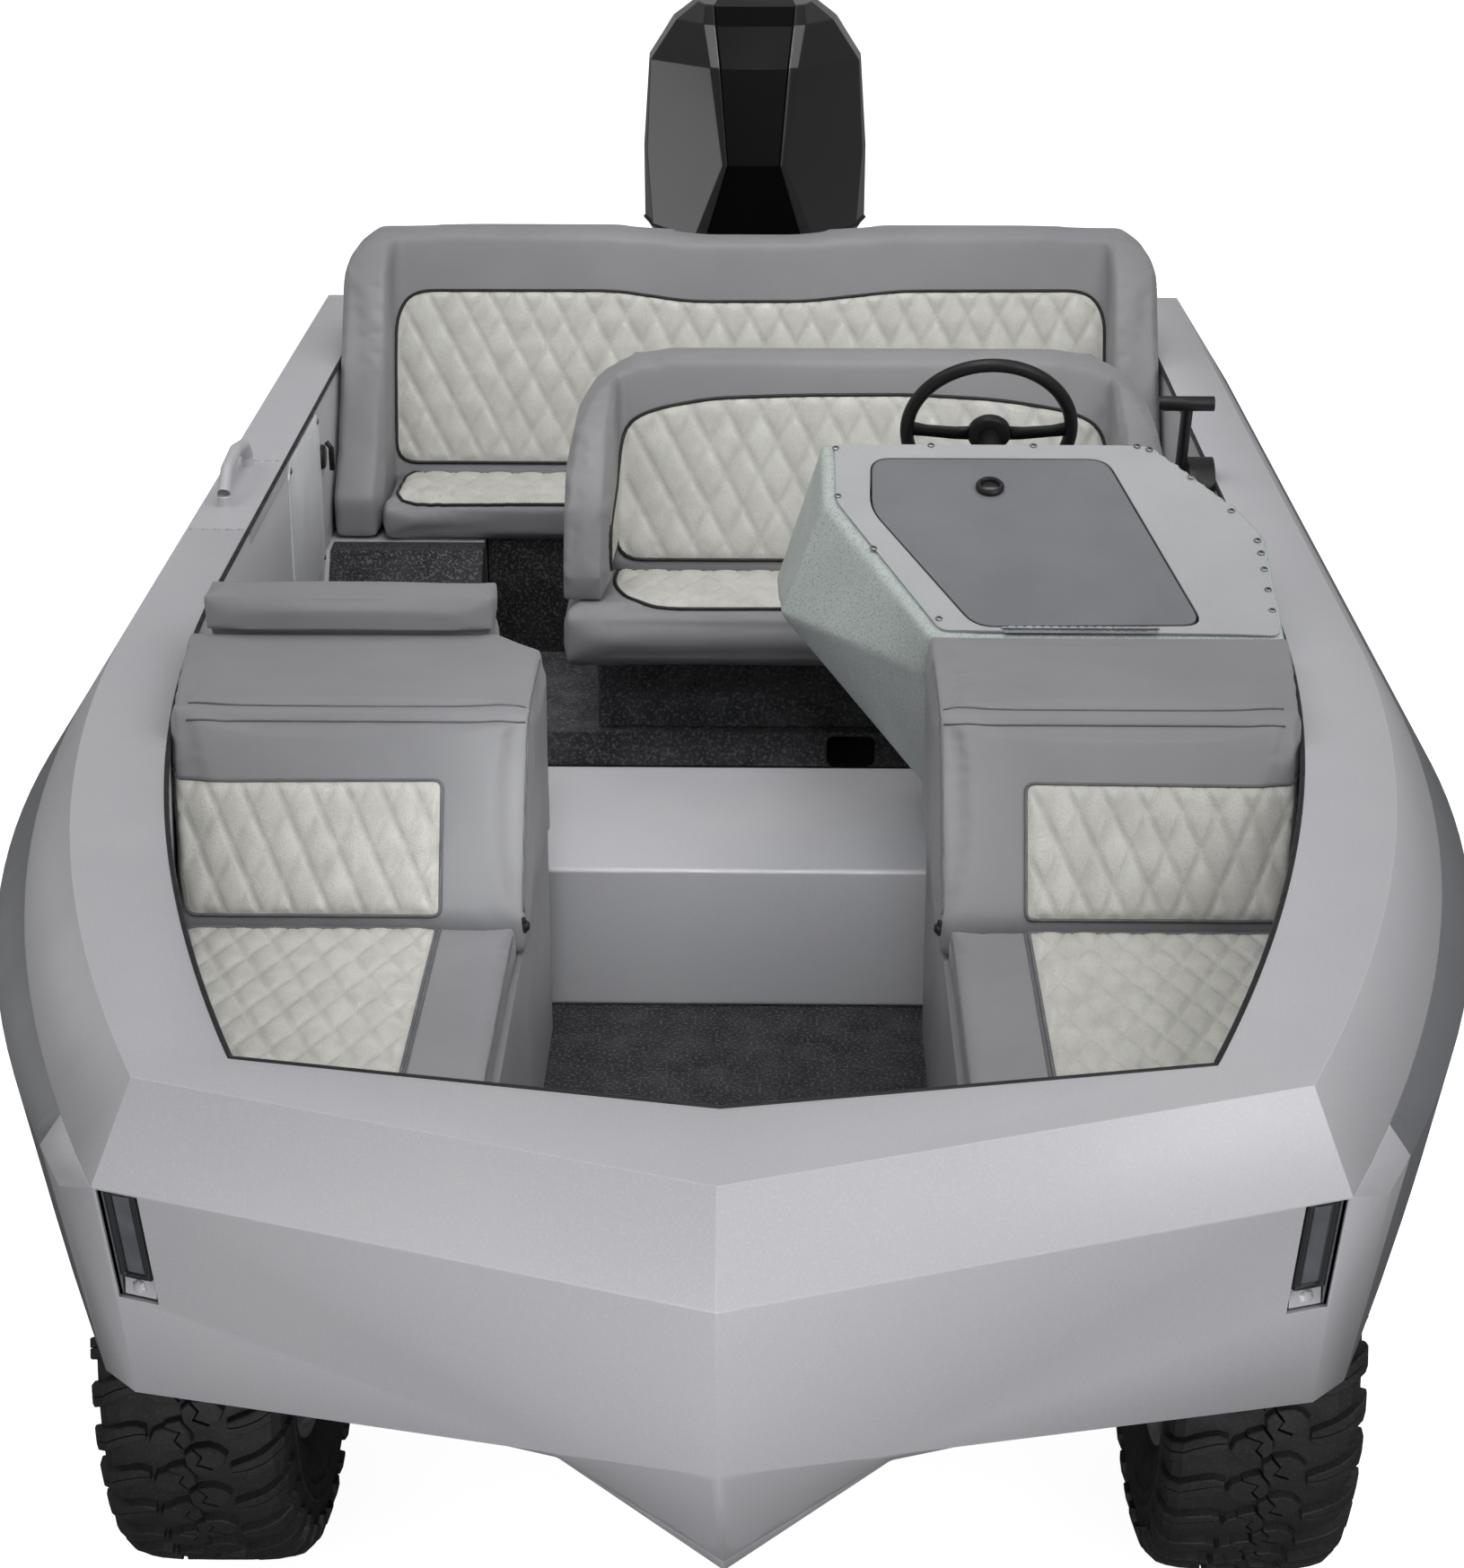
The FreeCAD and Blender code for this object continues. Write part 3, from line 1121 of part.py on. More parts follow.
def tyre_shape():
    """Carcass revolved about x, with shoulder lugs that stand out to the full radius and width."""
    lip = size("rim_lip_radius")
    bead = size("rim_width") / 2 - 6.5
    seat = size("rim_radius") + 0.5
    ring = [(-bead, seat), (-bead, lip + 1), (-tyre_half + 16, lip + 30), (-tyre_half + 6, 315),
            (-tread_half + 4, carcass - 18), (-tread_half + 30, carcass), (tread_half - 30, carcass),
            (tread_half - 4, carcass - 18), (tyre_half - 6, 315), (tyre_half - 16, lip + 30), (bead, lip + 1),
            (bead, seat), (bead - 20, seat), (bead - 22, 262), (-bead + 22, 262), (-bead + 20, seat)]
    profile = flat_face([Vector(x, 0, z) for x, z in ring])
    tyre = profile.revolve(Vector(), Vector(1, 0, 0), 360)
    lugs = []
    count = 18
    for k in range(count):
        for side in (1, -1):
            high = tyre_radius
            lug_ring = [(side * (tread_half - 62), carcass - 8), (side * (tread_half - 62), high),
                        (side * (tread_half - 12), high), (side * tyre_half, high - 42),
                        (side * tyre_half, high - 78), (side * (tread_half - 20), carcass - 30)]
            lug = prism([Vector(x, -21, z) for x, z in lug_ring], Vector(0, 42, 0))
            lug.rotate(Vector(), Vector(1, 0, 0), 360 / count * (k + 0.25 * side))
            lugs.append(lug)
    return tyre.multiFuse(lugs)


def rim_shape():
    """Barrel with lips, a dished disc with openings between the spokes and a bored hub."""
    radius = size("rim_radius")
    lip = size("rim_lip_radius")
    half = size("rim_width") / 2
    wall = size("rim_wall")
    ring = [(-half, lip), (-half + 6, lip), (-half + 6, radius), (half - 6, radius), (half - 6, lip), (half, lip),
            (half, lip - wall - 6), (half - 10, radius - wall), (-half + 10, radius - wall), (-half, lip - wall - 6)]
    barrel = flat_face([Vector(x, 0, z) for x, z in ring]).revolve(Vector(), Vector(1, 0, 0), 360)
    disc_low = 62
    disc = Part.makeCylinder(radius - wall / 2, 14, Vector(disc_low, 0, 0), Vector(1, 0, 0))
    hub = Part.makeCylinder(size("hub_radius"), disc_low + 30 + 76, Vector(-76, 0, 0), Vector(1, 0, 0))
    rim = barrel.fuse(disc).fuse(hub)
    count = 8
    for k in range(count):
        window = prism([Vector(disc_low - 5, a, b) for a, b in ((-22, 92), (22, 92), (50, 180), (-50, 180))],
                       Vector(30, 0, 0))
        window.rotate(Vector(), Vector(1, 0, 0), 360 / count * k)
        rim = rim.cut(window)
    bore = Part.makeCylinder(size("spindle_radius") + size("spindle_fit"), 400, Vector(-200, 0, 0), Vector(1, 0, 0))
    return rim.cut(bore)


front_axle = size("front_axle_station")
rear_axle = front_axle + size("wheelbase")
track = size("track_half")
tyre_solid = tyre_shape()
rim_solid = rim_shape()
for end, axle in (("front", front_axle), ("rear", rear_axle)):
    for side, name in ((1, "left"), (-1, "right")):
        turn = Rotation(Vector(0, 0, 1), 0 if side > 0 else 180)
        spot = Placement(at(side * track, axle, tyre_radius), turn)
        for piece, solid in (("tyre", tyre_solid), ("rim", rim_solid)):
            item = doc.addObject("Part::Feature", "%s_%s_%s" % (piece, end, name))
            item.Shape = solid
            item.Placement = spot
            keep(item, "%s_%s_%s" % (piece, end, name))

# Front suspension: two arms and a kingpin on each side, and a knuckle that turns on the kingpin

kingpin = size("kingpin_half")
spread = size("arm_spread")
spindle_end = track + 92


def front_arms(side):
    """Upper and lower arm from the wheel well's inner wall to the kingpin, with the kingpin."""
    wall = size("front_well_half") + 0.3
    wide = 70
    thick = size("arm_thickness")
    top = tyre_radius + spread
    foot = tyre_radius - spread
    upper = [(wall, 690), (wall, 620), (kingpin - 40, top), (kingpin + 26, top), (kingpin + 26, top + thick),
             (kingpin - 30, top + thick)]
    lower = [(wall, 560), (wall, 490), (kingpin - 50, foot - thick), (kingpin + 26, foot - thick),
             (kingpin + 26, foot), (kingpin - 40, foot)]
    arms = []
    for ring in (upper, lower):
        arms.append(prism([at(side * x, front_axle - wide / 2, z) for x, z in ring], Vector(0, wide, 0)))
    pin = Part.makeCylinder(size("kingpin_radius"), 2 * spread + 2 * thick - 8,
                            at(side * kingpin, front_axle, foot - thick + 4), Vector(0, 0, 1))
    return arms[0].fuse(arms[1]).fuse(pin)


def knuckle(side):
    """Upright bored for the kingpin, with the wheel's spindle."""
    tall = 2 * spread - 4
    low = tyre_radius - spread + 2
    inner = kingpin - size("knuckle_block")
    outer = kingpin + size("knuckle_block") + 8
    x = inner if side > 0 else -outer
    upright = Part.makeBox(outer - inner, 64, tall, at(x, front_axle - 32, low))
    root = Part.makeCylinder(48, 10, at(side * (outer - 2), front_axle, tyre_radius), Vector(side, 0, 0))
    spindle = Part.makeCylinder(size("spindle_radius"), spindle_end - outer + 2,
                                at(side * (outer - 2), front_axle, tyre_radius), Vector(side, 0, 0))
    bore = Part.makeCylinder(size("kingpin_radius") + size("spindle_fit"), 400,
                             at(side * kingpin, front_axle, tyre_radius - 200), Vector(0, 0, 1))
    return upright.fuse(root).fuse(spindle).cut(bore)


def rear_carrier(side):
    """Bracket on the rear wheel well's inner wall with a drop arm and the wheel's spindle."""
    wall = size("rear_well_half") + 0.3
    inner = kingpin
    ring = [(wall, 640), (wall, 470), (wall + 12, 470), (inner - 18, 352), (inner + 30, 352), (inner + 30, 470),
            (inner - 20, 590), (inner - 30, 640)]
    arm = prism([at(side * x, rear_axle - 50, z) for x, z in ring], Vector(0, 100, 0))
    spindle = Part.makeCylinder(size("spindle_radius"), spindle_end - inner - 28,
                                at(side * (inner + 28), rear_axle, tyre_radius), Vector(side, 0, 0))
    return arm.fuse(spindle)


solid_node("front_arms", Part.makeCompound([front_arms(1), front_arms(-1)]))
solid_node("rear_carriers", Part.makeCompound([rear_carrier(1), rear_carrier(-1)]))
solid_node("knuckle_left", knuckle(1))
solid_node("knuckle_right", knuckle(-1))

# Outboard motor: bracket on the transom, swivel on the tilt pin, leg with lower unit, cowl and propeller

hull_back = size("hull_length")
tilt_station = hull_back + size("tilt_setback")
tilt_height = size("tilt_height")
pin_radius = size("tilt_pin_radius")
steer_station = tilt_station + size("steer_setback")
swivel = size("swivel_radius")


def bracket_shape():
    """Base plate with bolt holes, two side plates and the tilt pin."""
    low = size("bracket_bolt_height") - 35
    high = size("bracket_bolt_height") + size("bracket_bolt_rise") + 35
    half = size("bracket_bolt_half") + 30
    plate = Part.makeBox(2 * half, 20, high - low, at(-half, hull_back, low))
    for x in (-1, 1):
        for z in (0, 1):
            height = size("bracket_bolt_height") + z * size("bracket_bolt_rise")
            start = at(x * size("bracket_bolt_half"), hull_back - 1, height)
            plate = plate.cut(Part.makeCylinder(size("bracket_bolt_radius"), 60, start, Vector(0, 1, 0)))
    ring = [(hull_back + 18, low + 10), (hull_back + 18, high), (tilt_station - 60, tilt_height + 34),
            (tilt_station + 22, tilt_height + 34), (tilt_station + 34, tilt_height - 20),
            (tilt_station - 30, tilt_height - 90), (hull_back + 120, low + 60)]
    for x in (-108, 88):
        plate = plate.fuse(prism([at(x, s, z) for s, z in ring], Vector(20, 0, 0)))
    pin = Part.makeCylinder(pin_radius, 216, at(-108, tilt_station, tilt_height), Vector(1, 0, 0))
    return plate.fuse(pin)


def swivel_shape():
    """Tube round the tilt pin, with the upright steering tube behind it."""
    tube = Part.makeCylinder(pin_radius + 18, 168, at(-84, tilt_station, tilt_height), Vector(1, 0, 0))
    mast = Part.makeCylinder(swivel, 330, at(0, steer_station, tilt_height - 280), Vector(0, 0, 1))
    web = Part.makeBox(60, size("steer_setback"), 56, at(-30, tilt_station, tilt_height - 28))
    body = tube.fuse(mast).fuse(web)
    pin_bore = Part.makeCylinder(pin_radius + size("spindle_fit"), 400, at(-200, tilt_station, tilt_height), Vector(1, 0, 0))
    steer_bore = Part.makeCylinder(swivel - 10 + size("spindle_fit"), 600, at(0, steer_station, tilt_height - 400),
                                   Vector(0, 0, 1))
    return body.cut(pin_bore).cut(steer_bore)


def leg_shape():
    """Steering shaft, its two yokes, midsection, cavitation plate, gear case, skeg and propeller shaft."""
    axis = Vector(0, 0, 1)
    mast_low = tilt_height - 280
    shaft = Part.makeCylinder(swivel - 10, 400, at(0, steer_station, mast_low - 30), axis)
    lower_yoke = Part.makeBox(90, 120, 32, at(-45, steer_station - 40, mast_low - 34))
    upper_yoke = Part.makeBox(120, 150, 34, at(-60, steer_station - 40, tilt_height + 54))
    leg_front = steer_station + swivel + 12
    sections = []
    for z, first, last, half in ((size("cowl_base") - 0.3, leg_front - 6, leg_front + 300, 120),
                                 (tilt_height - 120, leg_front, leg_front + 230, 82),
                                 (440, leg_front, leg_front + 200, 60), (330, leg_front - 10, leg_front + 190, 30)):
        middle = (first + last) / 2
        ring = [(0, first), (half, first + 60), (half, middle + 30), (half * 0.35, last), (-half * 0.35, last),
                (-half, middle + 30), (-half, first + 60)]
        points = [at(x, s, z) for x, s in ring]
        sections.append(Part.makePolygon(points + points[:1]))
    column = Part.makeLoft(sections, True, True)
    plate_front = leg_front - 20
    fin = prism([at(x, s, 432) for x, s in ((-30, plate_front), (30, plate_front), (110, plate_front + 90),
                                            (110, plate_front + 330), (-110, plate_front + 330),
                                            (-110, plate_front + 90))], Vector(0, 0, 10))
    prop_z = size("prop_height")
    case = Part.makeCylinder(52, 250, at(0, leg_front - 30, prop_z), Vector(0, 1, 0))
    nose = Part.makeSphere(52, at(0, leg_front - 30, prop_z))
    skeg = prism([at(-6, s, z) for s, z in ((leg_front + 10, prop_z - 30), (leg_front + 190, prop_z - 30),
                                            (leg_front + 200, size("skeg_height")),
                                            (leg_front + 120, size("skeg_height")))], Vector(12, 0, 0))
    prop_shaft = Part.makeCylinder(size("prop_shaft_radius"), 140, at(0, leg_front + 215, prop_z), Vector(0, 1, 0))
    return column.multiFuse([shaft, lower_yoke, upper_yoke, fin, case, nose, skeg, prop_shaft])


def prop_shape():
    """Hub and three twisted blades on the propeller shaft."""
    start = steer_station + swivel + 12 + 222
    length = 100
    radius = size("prop_radius")
    hub = Part.makeCylinder(size("prop_hub_radius"), length, Vector(), Vector(0, 1, 0))
    blades = []
    for k in range(3):
        wires = []
        for reach, chord, pitch in ((size("prop_hub_radius") - 8, 44, 58), (radius * 0.6, 74, 42), (radius * 0.97, 40, 28)):
            wide = math.radians(pitch)
            along = Vector(math.cos(wide), math.sin(wide), 0) * chord
            across = Vector(-math.sin(wide), math.cos(wide), 0) * 4
            points = [Vector(0, length / 2, reach) + step for step in (along * -1, across * -1, along, across)]
            wires.append(Part.makePolygon(points + points[:1]))
        blade = Part.makeLoft(wires, True, True)
        blade.rotate(Vector(), Vector(0, 1, 0), 120 * k)
        blades.append(blade)
    prop = hub.multiFuse(blades)
    bore = Part.makeCylinder(size("prop_shaft_radius") + size("spindle_fit"), 400, Vector(0, -200, 0), Vector(0, 1, 0))
    prop = prop.cut(bore)
    prop.translate(at(0, start, size("prop_height")))
    return prop


def cowl_shape():
    """Faceted cowl: loft of level outlines, the last one small and high."""
    front = tilt_station + size("cowl_front_setback")
    back = hull_back + size("motor_reach")
    half = size("cowl_half")
    base = size("cowl_base")
    shoulder = size("cowl_shoulder")
    top = size("cowl_top")
    sections = []
    for z, first, last, wide, nose in ((base, front + 40, back - 60, half - 30, 120),
                                       (base + 90, front, back - 10, half, 140),
                                       (shoulder, front + 30, back, half - 28, 130),
                                       (top, front + 110, back - 130, half * 0.46, 60)):
        ring = [(nose, first), (wide, first + 130), (wide, last - 120), (nose, last)]
        points = [at(x, s, z) for x, s in ring] + [at(-x, s, z) for x, s in reversed(ring)]
        sections.append(Part.makePolygon(points + points[:1]))
    return Part.makeLoft(sections, True, True)


solid_node("motor_bracket", bracket_shape())
solid_node("motor_swivel", swivel_shape())
solid_node("motor_leg", leg_shape())
solid_node("motor_cowl", cowl_shape())
solid_node("propeller", prop_shape())

# Check every object and write one file per piece

doc.recompute()
for item in doc.Objects:
    if "Invalid" in item.State or "Error" in item.State:
        raise RuntimeError("%s failed: %s" % (item.Label, item.State))
os.makedirs("parts", exist_ok=True)
for item in nodes:
    if item.Shape.isNull() or not item.Shape.isValid():
        raise RuntimeError("%s has no valid shape" % item.Label)
    item.Shape.exportStep("parts/%s.step" % item.Label)
    print("%-22s solids %d  litres %.2f" % (item.Label, len(item.Shape.Solids), item.Shape.Volume / 1e6))
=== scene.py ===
import json
import math
import random

import bmesh
import bpy
import numpy as np
from mathutils import Matrix, Vector
from mathutils.bvhtree import BVHTree

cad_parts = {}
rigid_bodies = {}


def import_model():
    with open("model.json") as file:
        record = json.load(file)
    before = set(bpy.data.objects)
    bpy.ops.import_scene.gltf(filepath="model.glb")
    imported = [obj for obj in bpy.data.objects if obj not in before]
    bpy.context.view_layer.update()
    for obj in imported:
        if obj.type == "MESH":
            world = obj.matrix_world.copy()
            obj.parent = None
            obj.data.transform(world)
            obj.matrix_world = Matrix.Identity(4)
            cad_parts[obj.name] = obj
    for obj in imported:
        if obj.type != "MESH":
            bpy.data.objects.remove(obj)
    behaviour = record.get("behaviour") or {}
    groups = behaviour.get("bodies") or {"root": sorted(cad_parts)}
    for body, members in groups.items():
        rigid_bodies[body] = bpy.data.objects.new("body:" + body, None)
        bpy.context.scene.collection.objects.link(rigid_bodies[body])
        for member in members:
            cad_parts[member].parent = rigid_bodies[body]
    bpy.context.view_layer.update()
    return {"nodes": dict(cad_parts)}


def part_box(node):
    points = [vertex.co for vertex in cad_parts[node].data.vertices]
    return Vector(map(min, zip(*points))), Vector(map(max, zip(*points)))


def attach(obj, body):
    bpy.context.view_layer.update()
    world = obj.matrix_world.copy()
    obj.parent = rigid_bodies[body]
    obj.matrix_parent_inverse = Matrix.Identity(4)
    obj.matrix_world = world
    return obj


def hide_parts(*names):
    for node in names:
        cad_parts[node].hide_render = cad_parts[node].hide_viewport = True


for leftover in list(bpy.data.objects):
    bpy.data.objects.remove(leftover)
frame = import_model()
nodes = frame["nodes"]
scene = bpy.context.scene
random.seed(11)

MM = 0.001
ORIGIN_STATION = 2569


def at(x, station, z):
    """Point of the frame from millimetres: across, aft of the stem, up."""
    return Vector((x, station - ORIGIN_STATION, z)) * MM


# Materials ------------------------------------------------------------------------------------------


def tone(red, green, blue):
    """Linear colour of an sRGB one that is written 0 to 255."""
    linear = [c / 255 / 12.92 if c < 10.3 else ((c / 255 + 0.055) / 1.055) ** 2.4 for c in (red, green, blue)]
    return (*linear, 1)


def add(tree, kind, inputs=(), **settings):
    """New shader node with its settings, and its inputs as (socket, value or output)."""
    node = tree.nodes.new(kind)
    for key, value in settings.items():
        setattr(node, key, value)
    for socket, value in inputs:
        if isinstance(value, bpy.types.NodeSocket):
            tree.links.new(value, node.inputs[socket])
        else:
            node.inputs[socket].default_value = value
    return node


def blend_colours(tree, factor, first, second):
    """Colour output between two colours."""
    mix = add(tree, "ShaderNodeMix", [(0, factor), (6, first), (7, second)], data_type="RGBA")
    return mix.outputs[2]


def spread(tree, value, low, high, to_low=0.0, to_high=1.0):
    """Output that stretches a value's range onto another."""
    ranged = add(tree, "ShaderNodeMapRange", [("Value", value), ("From Min", low), ("From Max", high),
                                              ("To Min", to_low), ("To Max", to_high)])
    return ranged.outputs["Result"]


def finish(name, light, dark, patches=5, fleck=None, fleck_scale=700, fleck_share=0.3, rough=(0.4, 0.55),
           grain=900, bump=0.1, depth=0.3, cells=False, metallic=0.0, coat=0.0, sheen=0.0, edge=None,
           rounding=0.0, stretch=(1, 1, 1)):
    """Material whose colour drifts in patches, with fine flecks, grain in relief, rounded edges, and edges lightened
    partly as wear, partly as painted highlight.

    Scales are per metre, depth and rounding in millimetres."""
    material = bpy.data.materials.new(name)
    material.use_nodes = True
    tree = material.node_tree
    shader = tree.nodes["Principled BSDF"]
    place = add(tree, "ShaderNodeTexCoord").outputs["Object"]
    place = add(tree, "ShaderNodeMapping", [("Vector", place), ("Scale", stretch)]).outputs["Vector"]
    drift = add(tree, "ShaderNodeTexNoise", [("Vector", place), ("Scale", patches), ("Detail", 5.0)])
    colour = blend_colours(tree, spread(tree, drift.outputs["Fac"], 0.35, 0.65), light, dark)
    if fleck:
        dots = add(tree, "ShaderNodeTexNoise", [("Vector", place), ("Scale", fleck_scale), ("Detail", 2.0)])
        share = spread(tree, dots.outputs["Fac"], 0.5, 0.72, 0.0, fleck_share * 2)
        colour = blend_colours(tree, share, colour, fleck)
    if cells:
        relief = add(tree, "ShaderNodeTexVoronoi", [("Vector", place), ("Scale", grain)],
                     feature="SMOOTH_F1").outputs["Distance"]
    else:
        relief = add(tree, "ShaderNodeTexNoise", [("Vector", place), ("Scale", grain), ("Detail", 3.0)])
        relief = relief.outputs["Fac"]
    lift = add(tree, "ShaderNodeBump", [("Height", relief), ("Strength", bump), ("Distance", depth * MM)])
    if rounding:
        edges = add(tree, "ShaderNodeBevel", [("Radius", rounding * MM)], samples=6)
        tree.links.new(edges.outputs["Normal"], lift.inputs["Normal"])
    # Lighter colour on the edges: partly wear, partly painted highlight where rounded edges catch the light.
    if edge:
        wide = add(tree, "ShaderNodeBevel", [("Radius", 2.5 * MM)], samples=4)
        true = add(tree, "ShaderNodeNewGeometry").outputs["Normal"]
        turned = add(tree, "ShaderNodeVectorMath", [(0, wide.outputs["Normal"]), (1, true)], operation="DOT_PRODUCT")
        edge_wear_and_highlight = spread(tree, turned.outputs["Value"], 0.985, 0.93, 0.0, 0.55)
        colour = blend_colours(tree, edge_wear_and_highlight, colour, edge)
    tree.links.new(colour, shader.inputs["Base Color"])
    tree.links.new(spread(tree, drift.outputs["Fac"], 0.3, 0.7, *rough), shader.inputs["Roughness"])
    tree.links.new(lift.outputs["Normal"], shader.inputs["Normal"])
    shader.inputs["Metallic"].default_value = metallic
    shader.inputs["Coat Weight"].default_value = coat
    shader.inputs["Coat Roughness"].default_value = 0.08
    shader.inputs["Sheen Weight"].default_value = sheen
    return material


# The edge colours in these finishes lighten the edges: partly wear, partly painted highlight.
paint = finish("hull_paint", tone(193, 193, 197), tone(187, 187, 192), patches=3, fleck=tone(214, 214, 217),
               fleck_scale=420, fleck_share=0.18, rough=(0.34, 0.46), grain=1100, bump=0.12, metallic=0.15,
               edge=tone(226, 227, 230), rounding=2.0)
# Darker copy of the hull paint for the hull sides: painted shade, where the sides face down and away from the lamps.
shaded_side_paint = finish("shaded_side_paint", tone(118, 120, 124), tone(112, 114, 118), patches=3, fleck=tone(140, 141, 144),
                    fleck_scale=420, fleck_share=0.18, rough=(0.34, 0.46), grain=1100, bump=0.12, metallic=0.15,
                    edge=tone(176, 177, 180), rounding=2.0)
# Lighter copy of the marbled mat, with its own ribbed relief, for the helm base and aft floor: painted light that lifts
# their shade.
lightened_floor_mat = finish("ribbed_mat_painted_light", tone(84, 84, 88), tone(62, 62, 65), patches=14, fleck=tone(128, 129, 132),
                    fleck_scale=170, fleck_share=0.5, rough=(0.5, 0.8), grain=150, bump=0.9, depth=2.4, rounding=4.0)
bare_plate = finish("bare_plate", tone(176, 178, 181), tone(160, 163, 167), patches=9, rough=(0.36, 0.52),
                    grain=500, bump=0.1, metallic=0.55, edge=tone(220, 221, 223), rounding=1.0,
                    stretch=(1, 0.08, 1))
carpet = finish("marbled_mat", tone(44, 44, 47), tone(30, 30, 32), patches=14, fleck=tone(104, 105, 108),
                fleck_scale=190, fleck_share=0.5, rough=(0.62, 0.85), grain=210, bump=0.9, depth=2.0, rounding=4.0)
vinyl = finish("grey_vinyl", tone(139, 139, 142), tone(131, 131, 135), patches=4, fleck=tone(160, 160, 162),
               fleck_scale=1500, fleck_share=0.15, rough=(0.42, 0.54), grain=1300, bump=0.22, depth=0.35,
               cells=True, sheen=0.08)
ivory = finish("ivory_vinyl", tone(206, 205, 199), tone(192, 191, 184), patches=22, fleck=tone(168, 167, 160),
               fleck_scale=380, fleck_share=0.25, rough=(0.3, 0.46), grain=420, bump=0.55, depth=0.9, cells=True)
black_piping = finish("black_piping", tone(34, 34, 36), tone(26, 26, 28), patches=30, rough=(0.4, 0.55), grain=1500)
grey_piping = finish("grey_piping", tone(108, 109, 112), tone(98, 99, 102), patches=30, rough=(0.4, 0.55), grain=1500)
thread = finish("thread", tone(172, 172, 174), tone(150, 150, 153), patches=60, rough=(0.6, 0.7), grain=2500)
sage = finish("sage_fibreglass", tone(186, 194, 191), tone(176, 185, 182), patches=6, fleck=tone(128, 143, 138),
              fleck_scale=330, fleck_share=0.5, rough=(0.3, 0.45), grain=380, bump=0.2, depth=0.6, coat=0.15)
panel_paint = finish("panel_paint", tone(172, 174, 176), tone(165, 167, 170), patches=5, fleck=tone(214, 215, 216),
                     fleck_scale=900, fleck_share=0.15, rough=(0.4, 0.5), grain=1200, bump=0.15, rounding=1.5)
pale_plate = finish("pale_plate", tone(228, 229, 231), tone(216, 217, 220), patches=8, fleck=tone(190, 191, 193),
                    fleck_scale=500, fleck_share=0.3, rough=(0.3, 0.45), grain=900, bump=0.15, rounding=1.0)
hatch_paint = finish("hatch_paint", tone(118, 120, 124), tone(111, 113, 117), patches=6, fleck=tone(146, 148, 151),
                     fleck_scale=1100, fleck_share=0.15, rough=(0.42, 0.55), grain=1200, bump=0.2, rounding=1.5)
black_plastic = finish("black_plastic", tone(30, 30, 32), tone(22, 22, 24), patches=20, rough=(0.36, 0.52),
                       grain=1200, bump=0.2, cells=True, rounding=1.0)
gloss = finish("cowl_gloss", tone(16, 17, 19), tone(12, 13, 15), patches=3, rough=(0.16, 0.22), grain=60,
               bump=0.02, coat=1.0, rounding=9.0)
gloss_strip = finish("cowl_strip", tone(8, 8, 9), tone(5, 5, 6), patches=3, rough=(0.3, 0.4), grain=900, bump=0.05)
gloss_strip.node_tree.nodes["Principled BSDF"].inputs["Specular IOR Level"].default_value = 0.1
motor_metal = finish("motor_metal", tone(52, 54, 57), tone(42, 44, 47), patches=8, rough=(0.3, 0.45), grain=800,
                     bump=0.15, metallic=0.35, edge=tone(92, 94, 97), rounding=3.0)
steel = finish("steel", tone(186, 188, 191), tone(160, 163, 167), patches=18, rough=(0.22, 0.38), grain=700,
               bump=0.08, metallic=1.0, rounding=0.6)
iron = finish("black_iron", tone(40, 41, 43), tone(31, 32, 34), patches=16, fleck=tone(70, 70, 72), rough=(0.42, 0.6),
              grain=500, bump=0.3, metallic=0.3, edge=tone(84, 85, 88), rounding=2.0)
rim_paint = finish("rim_silver", tone(196, 198, 201), tone(182, 184, 188), patches=12, rough=(0.24, 0.36),
                   grain=1300, bump=0.1, metallic=0.75, edge=tone(222, 223, 226), rounding=1.5)
rubber = finish("tyre_rubber", tone(36, 36, 38), tone(27, 27, 29), patches=18, fleck=tone(58, 57, 55),
                fleck_scale=260, fleck_share=0.25, rough=(0.6, 0.82), grain=700, bump=0.35, depth=0.5)
lens = finish("lamp_lens", tone(96, 98, 104), tone(82, 84, 90), patches=30, rough=(0.1, 0.2), grain=260,
              bump=0.15, coat=0.8, rounding=1.0)
red_lens = finish("tail_lens", tone(150, 16, 14), tone(122, 10, 10), patches=25, rough=(0.12, 0.22), grain=240,
                  bump=0.2, coat=0.8, rounding=1.0)
SLOTS = {"hull_paint": paint, "bare_plate": bare_plate, "carpet": carpet, "vinyl": vinyl, "console_paint": sage,
         "panel_paint": panel_paint, "black_plastic": black_plastic, "cowl_gloss": gloss,
         "motor_metal": motor_metal, "steel": steel, "iron": iron, "rim": rim_paint, "tyre": rubber,
         "lamp": lens, "tail_lamp": red_lens, "board": bare_plate}

# Mesh helpers ---------------------------------------------------------------------------------------


def make(name, parts, body, smooth=True):
    """One object from parts, each (vertices, faces, material), that rides on a body."""
    mesh = bpy.data.meshes.new(name)
    vertices, faces, owners = [], [], []
    for index, (points, polygons, material) in enumerate(parts):
        start = len(vertices)
        vertices += [tuple(p) for p in points]
        faces += [tuple(start + i for i in polygon) for polygon in polygons]
        owners += [index] * len(polygons)
        mesh.materials.append(material)
    mesh.from_pydata(vertices, [], faces)
    mesh.polygons.foreach_set("material_index", owners)
    mesh.polygons.foreach_set("use_smooth", [smooth] * len(faces))
    mesh.update()
    obj = bpy.data.objects.new(name, mesh)
    scene.collection.objects.link(obj)
    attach(obj, body)
    return obj


